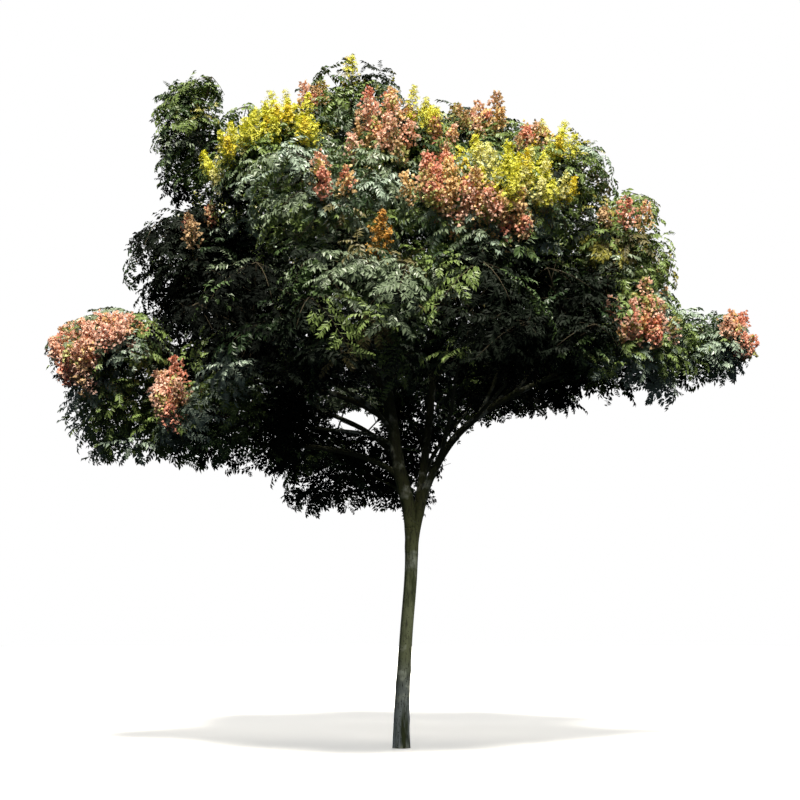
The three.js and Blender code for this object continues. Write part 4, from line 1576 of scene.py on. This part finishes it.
    def fill_spray(self, twig: Twig, corners: Array) -> None:
        """Lays a shoot along a spray's midrib, with leaves to its left and right by turns.

        Args:
            twig: The twig that carries the spray.
            corners: The spray's left corner, tip and right corner.
        """
        left, tip, right = corners
        middle = (left + right) / 2
        bend = 2 * middle - (twig.tip + tip) / 2
        shoot = Curve.bent(twig.tip, bend, tip)
        count = max(self.shoot_leaves, round(shoot.length / self.leaf_step))
        shares = np.linspace(self.shoot_bare, 1.0, count)
        along = shoot.tangent(shares)
        across = square_to(np.broadcast_to(right - left, along.shape), along)
        above = np.cross(along, across)
        above = above * np.sign(np.sum(above * twig.axis, axis=1, keepdims=True))
        side = np.where(np.arange(count) % 2 == 0, 1.0, -1.0)
        side[-1] = 0.0
        turn = side * self.random.normal(*self.shoot_turn, count)
        heading = along * np.cos(turn)[:, None] + across * np.sin(turn)[:, None]
        pitch = self.random.normal(*self.shoot_pitch, count)[:, None]
        heading, above = (
            heading * np.cos(pitch) + above * np.sin(pitch),
            above * np.cos(pitch) - heading * np.sin(pitch),
        )
        length = self.random.uniform(*self.leaf_length, count)
        length = length * np.interp(shares, self.shoot_shares, self.shoot_lengths)
        droop = self.random.normal(*self.shoot_droop, count).clip(*self.shoot_droops)
        # The sprays on the tiers take lighter greens, which paint sunlight.
        bed = LeafBed(self.tint_at(middle, True), shoot.at(shares), heading, above, length, droop)
        # A shoot ends where it would hide the sky, and its leaves with it.
        held = np.logical_and.accumulate(~self.hides_sky(bed.base))
        kept = np.zeros(count, bool)
        kept[held] = self.lay_bed(bed.keep(held))
        if kept.any():
            radii = np.linspace(self.fine_radius, self.shoot_tip_radius, self.fine_rings)
            self.twigs.add(*tube(shoot, radii, self.fine_sides, last=shares[kept][-1]))

    def in_bloom(self, places: Array) -> Array:
        """Says which places lie among the panicles of a mass.

        Args:
            places: The places.

        Returns:
            True for each that does.
        """
        found = np.zeros(len(places), bool)
        for patch in PATCHES:
            mass = self.skeleton.named[patch.mass]
            off = (places - mass.leafy_centre) / mass.leafy_half
            reach = np.linalg.norm(off, axis=1)
            level = off @ patch.axis / reach
            shell = (reach > self.bloom_bare) & (reach < self.bloom_past)
            found |= shell & (level > math.cos(patch.cap))
        return found

    def hides_sky(self, places: Array) -> Array:
        """Says which places would hide the sky that the photograph shows.

        Args:
            places: The places.

        Returns:
            True for each that would.
        """
        eye = np.array(EYE)
        seen = eye + (places - eye) * (eye[1] / (eye[1] - places[:, 1]))[:, None]
        found = np.zeros(len(places), bool)
        for gap in OPENINGS:
            across = np.abs(seen[:, 0] - gap.across) / gap.half_width
            up = np.abs(seen[:, 2] - gap.height) / gap.half_height
            found |= across**self.roundness + up**self.roundness < 1
        return found

    def lay_bed(self, bed: LeafBed, fewest: int = 1) -> Array:
        """Keeps the leaves of a bed that stay within the crown's reach, off the bark and out of the sky.

        Args:
            bed: The leaves. Those without room are tried shorter.
            fewest: The number that must find room.

        Returns:
            True for each leaf that is kept.
        """
        tree = self.skeleton
        kept = np.zeros(len(bed.length), bool)
        for attempt in range(self.leaf_tries):
            if attempt:
                bed.length = np.where(kept, bed.length, bed.length * self.leaf_shrink)
            reach = np.maximum(*(tree.reach_of(bed.place(share)) for share in self.reach_tests))
            clear = np.minimum(*(tree.clearance(bed.place(share)) for share in self.bark_tests))
            kept = (reach < self.outermost) & (clear > self.bark_clearance)
            kept &= ~self.in_bloom(bed.place(1.0)) & ~self.hides_sky(bed.place(self.sky_test))
        if kept.sum() < fewest:
            return np.zeros(len(kept), bool)
        self.beds.append(bed.keep(kept))
        return kept

    def rosette(self, twig: Twig, count: int, fewest: int) -> Array:
        """Lays leaves round the tip of a finer twig.

        Args:
            twig: The twig.
            count: The number of leaves.
            fewest: The number that must find room.

        Returns:
            True for each leaf that is kept.
        """
        order = np.arange(count)
        turn = twig.phase + order * GOLDEN_ANGLE
        ahead, across = twig.frame()
        flat = ahead * np.cos(turn)[:, None] + across * np.sin(turn)[:, None]
        first, lower = self.rosette_rise
        rise = first - lower * order / count + self.random.normal(0, self.rosette_rise_differs, count)
        rise = rise[:, None]
        heading = flat * np.cos(rise) + twig.axis * np.sin(rise)
        above = twig.axis * np.cos(rise) - flat * np.sin(rise)
        base = twig.curve.at(1 - self.rosette_span * order / count)
        length = self.random.uniform(*self.leaf_length, count)
        droop = self.random.normal(*self.rosette_droop, count).clip(*self.rosette_droops)
        # The finer twigs between the tiers take darker greens, which paint shade.
        bed = LeafBed(self.tint_at(twig.tip, False), base, heading, above, length, droop)
        return self.lay_bed(bed, fewest)

    def footholds(self, stem: Curve, twigs: Sequence[Twig]) -> tuple[Array, Array]:
        """Finds the places that finer twigs leave from.

        Args:
            stem: The stem of a mass.
            twigs: Its twigs.

        Returns:
            The places, and the way along stem and twig to each.
        """
        shares = np.linspace(*self.foothold_span, self.foothold_count)
        places = [stem.at(shares)]
        ways = [shares * stem.length]
        for twig in twigs:
            places.append(twig.curve.at(shares))
            ways.append(shares * twig.curve.length + self.foothold_stem * stem.length)
        return np.concatenate(places), np.concatenate(ways)

    def fine_twig(self, holds: tuple[Array, Array], tip: Array, leaves: int, fewest: int) -> bool:
        """Grows a finer twig from the nearest foothold to a place, with leaves round its tip.

        Args:
            holds: The footholds and the way to each.
            tip: Where the twig ends.
            leaves: The number of leaves.
            fewest: The number that must find room.

        Returns:
            True where there was room for it.
        """
        places, ways = holds
        nearest = np.argmin(np.linalg.norm(places - tip, axis=1) + self.foothold_cost * ways)
        upright = self.random.uniform(*self.fine_upright)
        phase = self.random.uniform(0, FULL_TURN)
        twig = self.lay_twig(places[nearest], tip, upright, phase)
        if twig is None:
            return False
        kept = self.rosette(twig, leaves, fewest)
        if kept.any():
            radii = np.linspace(self.fine_radius, self.fine_tip_radius, self.fine_rings)
            self.twigs.add(*tube(twig.curve, radii, self.fine_sides))
        return bool(kept.any())

    def grow_fine(self, mass: Mass, holds: tuple[Array, Array]) -> None:
        """Carries the twigs of a mass on to finer ones, spread evenly round its middle.

        Args:
            mass: The mass.
            holds: Its footholds and the way to each.
        """
        thicker = self.thicker if mass.centre[2] < self.thicker_below else 1.0
        thicker = self.thickest.get(mass.name, thicker)
        count = round(thicker * mass.radius / self.fine_spacing)
        phase = self.random.uniform(0, FULL_TURN)
        for i in range(count):
            tier = math.floor(i / count * self.tiers)
            share = (tier + self.random.uniform(*self.tier_middle)) / self.tiers
            rise = self.fine_rise[0] - self.fine_rise[1] * share
            way = direction(phase + i * GOLDEN_ANGLE, rise)
            reach = self.fine_reach[0] + self.fine_reach[1] * self.random.random()
            tip = mass.leafy_centre + way * mass.leafy_half * reach
            self.fine_twig(holds, tip, self.fine_leaves, self.fewest_leaves)

    def bloom(self, patch: Patch, holds: tuple[Array, Array]) -> None:
        """Stands the panicles of a patch on finer twigs, spread evenly over it.

        Args:
            patch: The patch.
            holds: The footholds of its mass and the way to each.
        """
        mass = self.skeleton.named[patch.mass]
        ahead = square_to(np.array(self.bloom_guide), patch.axis)
        across = np.cross(patch.axis, ahead)
        phase = self.random.uniform(0, FULL_TURN)
        for i in range(patch.panicles):
            lean = patch.cap * math.sqrt((i + 0.5) / patch.panicles) * self.random.uniform(*self.bloom_stray)
            turn = phase + i * GOLDEN_ANGLE
            aside = ahead * math.cos(turn) + across * math.sin(turn)
            way = patch.axis * math.cos(lean) + aside * math.sin(lean)
            top = mass.leafy_centre + way * mass.leafy_half * self.random.uniform(*self.bloom_top)
            up = unit(way * self.bloom_lean + UP)
            length = self.random.uniform(*self.bloom_length[patch.bloom])
            root = top - up * length
            if self.fine_twig(holds, root, self.bloom_leaves, 1):
                tint = self.bloom_tint(patch.bloom, top)
                self.panicles.append(Panicle(patch.bloom, root, up, length, tint))

    def bloom_tint(self, kind: Bloom, place: Array) -> Petal | Capsule:
        """Deals out the colour of a panicle by its place in the crown."""
        return self.deal(next(zone.colours for zone in BLOOM_ZONES[kind] if zone.holds(place)))

    def deal(self, weights: dict[Enum, float]) -> Enum:
        """Picks one of some colours by their weights."""
        shares = np.array(list(weights.values()))
        return list(weights)[int(self.random.choice(len(shares), p=shares / shares.sum()))]

    def grow(self) -> None:
        """Grows every mass."""
        for bough in self.skeleton.carriers:
            mass = bough.mass
            random = Stream(self.seed + mass.index)
            stem = self.stem(mass, bough)
            thick = float(bough.radius_at(np.array(1.0)))
            radii = np.linspace(thick, self.twig_radius * self.stem_tip, self.stem_rings)
            self.twigs.add(*tube(stem, radii, self.stem_sides))
            twigs = self.grow_twigs(mass, stem, random)
            for twig in twigs:
                self.grow_sprays(mass, twig, random)
            kept = [twig for twig in twigs if len(twig.sprays) >= self.fewest_sprays]
            for twig in kept:
                radii = np.linspace(self.twig_radius, self.twig_tip_radius, self.twig_rings)
                self.twigs.add(*tube(twig.curve, radii, self.twig_sides))
                for corners in twig.sprays:
                    self.fill_spray(twig, corners)
            holds = self.footholds(stem, kept)
            self.grow_fine(mass, holds)
            for patch in PATCHES:
                if patch.mass == mass.name:
                    self.bloom(patch, holds)

    def build(self) -> None:
        """Makes the pieces: twigs, leaves by colour, blossom and fruit by colour."""
        self.grow()
        nodes = [f"foliage_{mass.name}" for mass in self.skeleton.masses]
        make_piece("twigs", self.twigs, TWIG_BARK.make(), nodes, True)
        random = np.random.default_rng(self.seed + 1)
        for tint in Leaf:
            material = tint.value.make()
            meshes = [Mesh()]
            for bed in self.beds:
                if bed.tint is not tint:
                    continue
                if meshes[-1].triangles > MOST_TRIANGLES:
                    meshes.append(Mesh())
                self.leaf.add_to(meshes[-1], bed, random)
            for i, mesh in enumerate(meshes):
                if mesh.count:
                    name = f"leaves_{tint.name.lower()}_{i + 1}"
                    make_piece(name, mesh, material, nodes, False)
        heads = {tint: Mesh() for kind in (Petal, Capsule) for tint in kind}
        stalks = Mesh()
        maker = HeadMaker(random)
        for panicle in self.panicles:
            maker.add_to(heads, stalks, panicle)
        if stalks.count:
            make_piece("panicle_stalks", stalks, STALK.make(), nodes, True)
        for tint, mesh in heads.items():
            if mesh.count:
                kind, slot = ("flowers", "blossom") if isinstance(tint, Petal) else ("capsules", "fruit")
                make_piece(f"{kind}_{tint.name.lower()}", mesh, tint.value.make(), nodes, False)


@dataclass
class HeadMaker:
    """Makes the branched heads: small four-petalled flowers, or three-winged papery capsules."""

    random: np.random.Generator
    # The stalk and its side branches. Shares are of the head's length.
    stalk: float = 0.2  # bare stalk below the first branch
    stalk_radii: tuple[float, float, int] = (4.0, 1.5, 3)  # first, last, and the number of rings
    stalk_sides: int = 3
    branches: int = 22
    branches_to: float = 0.97
    branch_turns: float = 6.0  # where the first branch may stand, in radians
    branch_half_mm: float = 2.2  # half a branch's width at its root, and 1 at its end
    branch_rise: tuple[float, float] = (0.5, 0.9)
    widest: float = 0.31  # the longest side branch
    widest_at: float = 0.35
    lengths: tuple[float, float, float] = (0.7, 1.0, 0.12)  # at the first branch, there and at the top
    lengths_differ: tuple[float, float] = (0.8, 1.2)
    bare: float = 0.25  # the share of a side branch before its first flower or capsule
    guide: tuple[float, float, float] = (1.0, 0.2, 0.0)  # from here the branches are counted round
    head_guide: tuple[float, float, float] = (0.3, 0.9, 0.2)  # and petals and ridges from here
    # Flowers
    flowers: int = 8  # on a side branch
    flower_mm: float = 19.0  # from the middle to a petal's tip
    flower_sizes: tuple[float, float] = (0.8, 1.2)
    flower_stray: float = 14.0  # how far a flower stands from its branch
    flower_rise: float = 0.5  # how far it is turned up
    flower_turn: float = 0.6  # how far it is turned by chance
    petal_half_turn: float = 0.42
    petal_lift: float = 0.35
    # Capsules
    capsules: int = 5
    mixed: float = 0.35  # side branches whose capsules have another colour
    capsule_mm: float = 48.0
    capsule_half_mm: float = 20.0
    capsule_sizes: tuple[float, float] = (0.75, 1.2)
    capsule_stray: float = 16.0
    capsule_rise: float = -0.5
    capsule_turn: float = 0.5
    capsule_widest_at: float = 0.42

    PETALS = ((0, 1, 2), (0, 3, 4), (0, 5, 6), (0, 7, 8))
    RIDGES = 3
    LANTERN = ((0, 2, 1), (0, 3, 2), (0, 1, 3), (4, 1, 2), (4, 2, 3), (4, 3, 1))
    STRIP = ((0, 1, 2), (1, 3, 2))

    def add_to(self, heads: dict[Enum, Mesh], stalks: Mesh, panicle: Panicle) -> None:
        """Adds one panicle.

        Args:
            heads: The mesh of each colour, which take its flowers or fruit.
            stalks: The mesh that takes its stalk and side branches.
            panicle: The panicle.
        """
        up = panicle.up
        ahead = square_to(np.array(self.guide), up)
        across = np.cross(up, ahead)
        top = panicle.root + up * panicle.length
        stalk = Curve.bent(panicle.root, top)
        stalks.add(*tube(stalk, np.linspace(*self.stalk_radii), self.stalk_sides))
        shares = np.linspace(self.stalk, self.branches_to, self.branches)
        turns = self.random.uniform(0, self.branch_turns) + np.arange(self.branches) * GOLDEN_ANGLE
        lengths = np.interp(shares, (self.stalk, self.widest_at, 1), self.lengths)
        reach = self.widest * panicle.length * lengths
        reach *= self.random.uniform(*self.lengths_differ, self.branches)
        out = ahead * np.cos(turns)[:, None] + across * np.sin(turns)[:, None]
        way = unit(out + up * self.random.uniform(*self.branch_rise, self.branches)[:, None])
        roots = panicle.root + up * (shares * panicle.length)[:, None]
        ends = roots + way * reach[:, None]
        wide = unit(np.cross(way, up))
        half = self.branch_half_mm * wide
        strips = np.stack((roots - half, roots + half, ends - wide, ends + wide), axis=1)
        stalks.add_copies(strips, np.array(self.STRIP))
        gold = panicle.bloom is Bloom.GOLD
        number = self.flowers if gold else self.capsules
        along = np.linspace(self.bare, 1.0, number)
        places = roots[:, None] + (ends - roots)[:, None] * along[:, None]
        facing = np.repeat(way[:, None], number, axis=1)
        if gold:
            self.add_flowers(heads[panicle.tint], places.reshape(-1, 3), facing.reshape(-1, 3))
            return
        other = list(Capsule)[int(self.random.integers(len(Capsule)))]
        turned = self.random.random(self.branches) < self.mixed
        for tint, chosen in ((panicle.tint, ~turned), (other, turned)):
            self.add_capsules(heads[tint], places[chosen].reshape(-1, 3), facing[chosen].reshape(-1, 3))

    def add_flowers(self, mesh: Mesh, places: Array, facing: Array) -> None:
        """Adds a flower at each place: four petals that open round a middle.

        Args:
            mesh: The mesh that takes them.
            places: The places.
            facing: The way of the branch at each.
        """
        count = len(places)
        axis = unit(facing + self.flower_rise * UP + self.random.normal(0, self.flower_turn, (count, 3)))
        size = self.flower_mm * self.random.uniform(*self.flower_sizes, count)[:, None]
        places = places + self.random.normal(0, self.flower_stray, (count, 3))
        ahead = square_to(np.broadcast_to(self.head_guide, axis.shape), axis)
        across = np.cross(axis, ahead)
        points = [places]
        for petal in range(len(self.PETALS)):
            for edge in (-self.petal_half_turn, self.petal_half_turn):
                turn = petal * FULL_TURN / len(self.PETALS) + edge
                spread = ahead * math.cos(turn) + across * math.sin(turn)
                points.append(places + size * (spread + axis * self.petal_lift))
        mesh.add_copies(np.stack(points, axis=1), np.array(self.PETALS))

    def add_capsules(self, mesh: Mesh, places: Array, facing: Array) -> None:
        """Adds a capsule at each place: an inflated lantern with three ridges and a pointed end.

        Args:
            mesh: The mesh that takes them.
            places: The places.
            facing: The way of the branch at each.
        """
        count = len(places)
        axis = unit(facing + UP * self.capsule_rise + self.random.normal(0, self.capsule_turn, (count, 3)))
        size = self.random.uniform(*self.capsule_sizes, count)[:, None]
        places = places + self.random.normal(0, self.capsule_stray, (count, 3))
        ahead = square_to(np.broadcast_to(self.head_guide, axis.shape), axis)
        across = np.cross(axis, ahead)
        points = [places]
        for ridge in range(self.RIDGES):
            turn = ridge * FULL_TURN / self.RIDGES
            spread = (ahead * math.cos(turn) + across * math.sin(turn)) * self.capsule_half_mm
            points.append(places + size * (spread + axis * self.capsule_mm * self.capsule_widest_at))
        points.append(places + size * axis * self.capsule_mm)
        mesh.add_copies(np.stack(points, axis=1), np.array(self.LANTERN))


# Studio


@dataclass
class Studio:
    """The floor, the light and the camera at the photograph's angle, in metres and degrees."""

    floor: FloorFinish = FloorFinish()
    floor_radius: float = 60.0
    floor_corners: int = 96
    floor_height: float = -0.001  # just under the trunk's foot
    pitch: float = 8.63
    lens: float = 64.17
    sensor: float = 36.0
    furthest: float = 200.0
    sun_colour: str = "#fff8ec"
    key_strength: float = 7.4
    key_angle: float = 14.0
    key_from: tuple[float, float, float] = (0.02, -0.55, 1.0)
    back_strength: float = 1.8
    back_angle: float = 40.0
    back_from: tuple[float, float, float] = (0.2, 0.75, 1.0)
    sky_colour: str = "#d8e5ff"
    sky_low: float = 0.04  # its strength near the ground
    sky_strength: float = 0.2  # and high up
    sky_rise: tuple[float, float] = (-0.1, 0.7)  # the heights of a direction between which it grows
    fill_power: float = 6.4
    fill_size: float = 1.2
    fill_spread: float = 19.0
    fill_front: tuple[float, float, float] = (5.0, -10.0, 1.3)
    fill_back: tuple[float, float, float] = (-5.0, 10.0, 1.3)
    fill_aim: tuple[float, float, float] = (0.0, 0.0, 1.3)

    def build(self) -> None:
        """Makes floor, sky, suns, lamps and camera."""
        self.make_floor()
        self.make_world()
        self.make_sun("key", self.key_strength, self.key_angle, self.key_from)
        self.make_sun("back", self.back_strength, self.back_angle, self.back_from)
        self.make_fill("fill_front", self.fill_front)
        self.make_fill("fill_back", self.fill_back)
        self.make_camera()

    def make_floor(self) -> None:
        """Makes the pale round floor."""
        count = self.floor_corners
        turns = np.arange(count) * FULL_TURN / count
        rim = np.stack((np.cos(turns), np.sin(turns), np.zeros(count)), axis=1) * self.floor_radius
        data = bpy.data.meshes.new("floor")
        data.from_pydata(rim.tolist(), [], [list(range(count))])
        data.materials.append(self.floor.make())
        floor = bpy.data.objects.new("floor", data)
        floor.location.z = self.floor_height
        bpy.context.scene.collection.objects.link(floor)
        floor.visible_diffuse = False
        floor.visible_glossy = False

    def make_world(self) -> None:
        """Makes a soft sky that lights from above, and a white background for the camera."""
        world = bpy.data.worlds.new("studio_sky")
        bpy.context.scene.world = world
        world.use_nodes = True
        tree = world.node_tree
        tree.nodes.clear()
        way = add_node(tree, "ShaderNodeTexCoord").outputs["Generated"]
        height = add_node(tree, "ShaderNodeSeparateXYZ", {0: way}).outputs["Z"]
        low, high = self.sky_rise
        limits = {"From Min": low, "From Max": high, "To Min": self.sky_low, "To Max": self.sky_strength}
        strength = add_node(tree, "ShaderNodeMapRange", {"Value": height, **limits}).outputs["Result"]
        light = {"Strength": strength, "Color": linear(self.sky_colour)}
        sky = add_node(tree, "ShaderNodeBackground", light)
        white = add_node(tree, "ShaderNodeBackground", {"Color": (1.0, 1.0, 1.0, 1.0), "Strength": 1.0})
        seen = add_node(tree, "ShaderNodeLightPath").outputs["Is Camera Ray"]
        mix = add_node(tree, "ShaderNodeMixShader", {0: seen, 1: sky.outputs[0], 2: white.outputs[0]})
        add_node(tree, "ShaderNodeOutputWorld", {"Surface": mix.outputs[0]})

    def make_sun(self, name: str, strength: float, angle: float, way: tuple[float, float, float]) -> None:
        """Makes a high soft sun.

        Args:
            name: Its name.
            strength: Its strength.
            angle: How wide it looks.
            way: The direction that it shines from.
        """
        data = bpy.data.lights.new(name, "SUN")
        data.energy = strength
        data.angle = math.radians(angle)
        data.color = linear(self.sun_colour)[:3]
        sun = bpy.data.objects.new(name, data)
        sun.rotation_mode = "QUATERNION"
        sun.rotation_quaternion = Vector(way).to_track_quat("Z", "Y")
        bpy.context.scene.collection.objects.link(sun)

    def make_fill(self, name: str, place: tuple[float, float, float]) -> None:
        """Makes a low soft lamp that lights the trunk under the crown's shade.

        Args:
            name: Its name.
            place: Its place.
        """
        data = bpy.data.lights.new(name, "AREA")
        data.size = self.fill_size
        data.energy = self.fill_power
        data.spread = math.radians(self.fill_spread)
        lamp = bpy.data.objects.new(name, data)
        lamp.location = place
        way = Vector(place) - Vector(self.fill_aim)
        lamp.rotation_mode = "QUATERNION"
        lamp.rotation_quaternion = way.to_track_quat("Z", "Y")
        bpy.context.scene.collection.objects.link(lamp)

    def make_camera(self) -> None:
        """Makes the camera."""
        data = bpy.data.cameras.new("camera")
        data.sensor_width = self.sensor
        data.lens = self.lens
        data.clip_end = self.furthest
        camera = bpy.data.objects.new("camera", data)
        camera.location = Vector(EYE) * MM
        camera.rotation_euler = (math.radians(90 + self.pitch), 0.0, 0.0)
        bpy.context.scene.collection.objects.link(camera)
        bpy.context.scene.camera = camera
        bpy.context.scene.view_settings.view_transform = "Standard"


def main() -> None:
    """Builds the tree and its studio."""
    logging.basicConfig(level=logging.INFO, format="%(name)s: %(message)s")
    skeleton = Skeleton()
    Studio().build()
    Bark(skeleton).build()
    Foliage(skeleton).build()


if __name__ == "__main__":
    main()
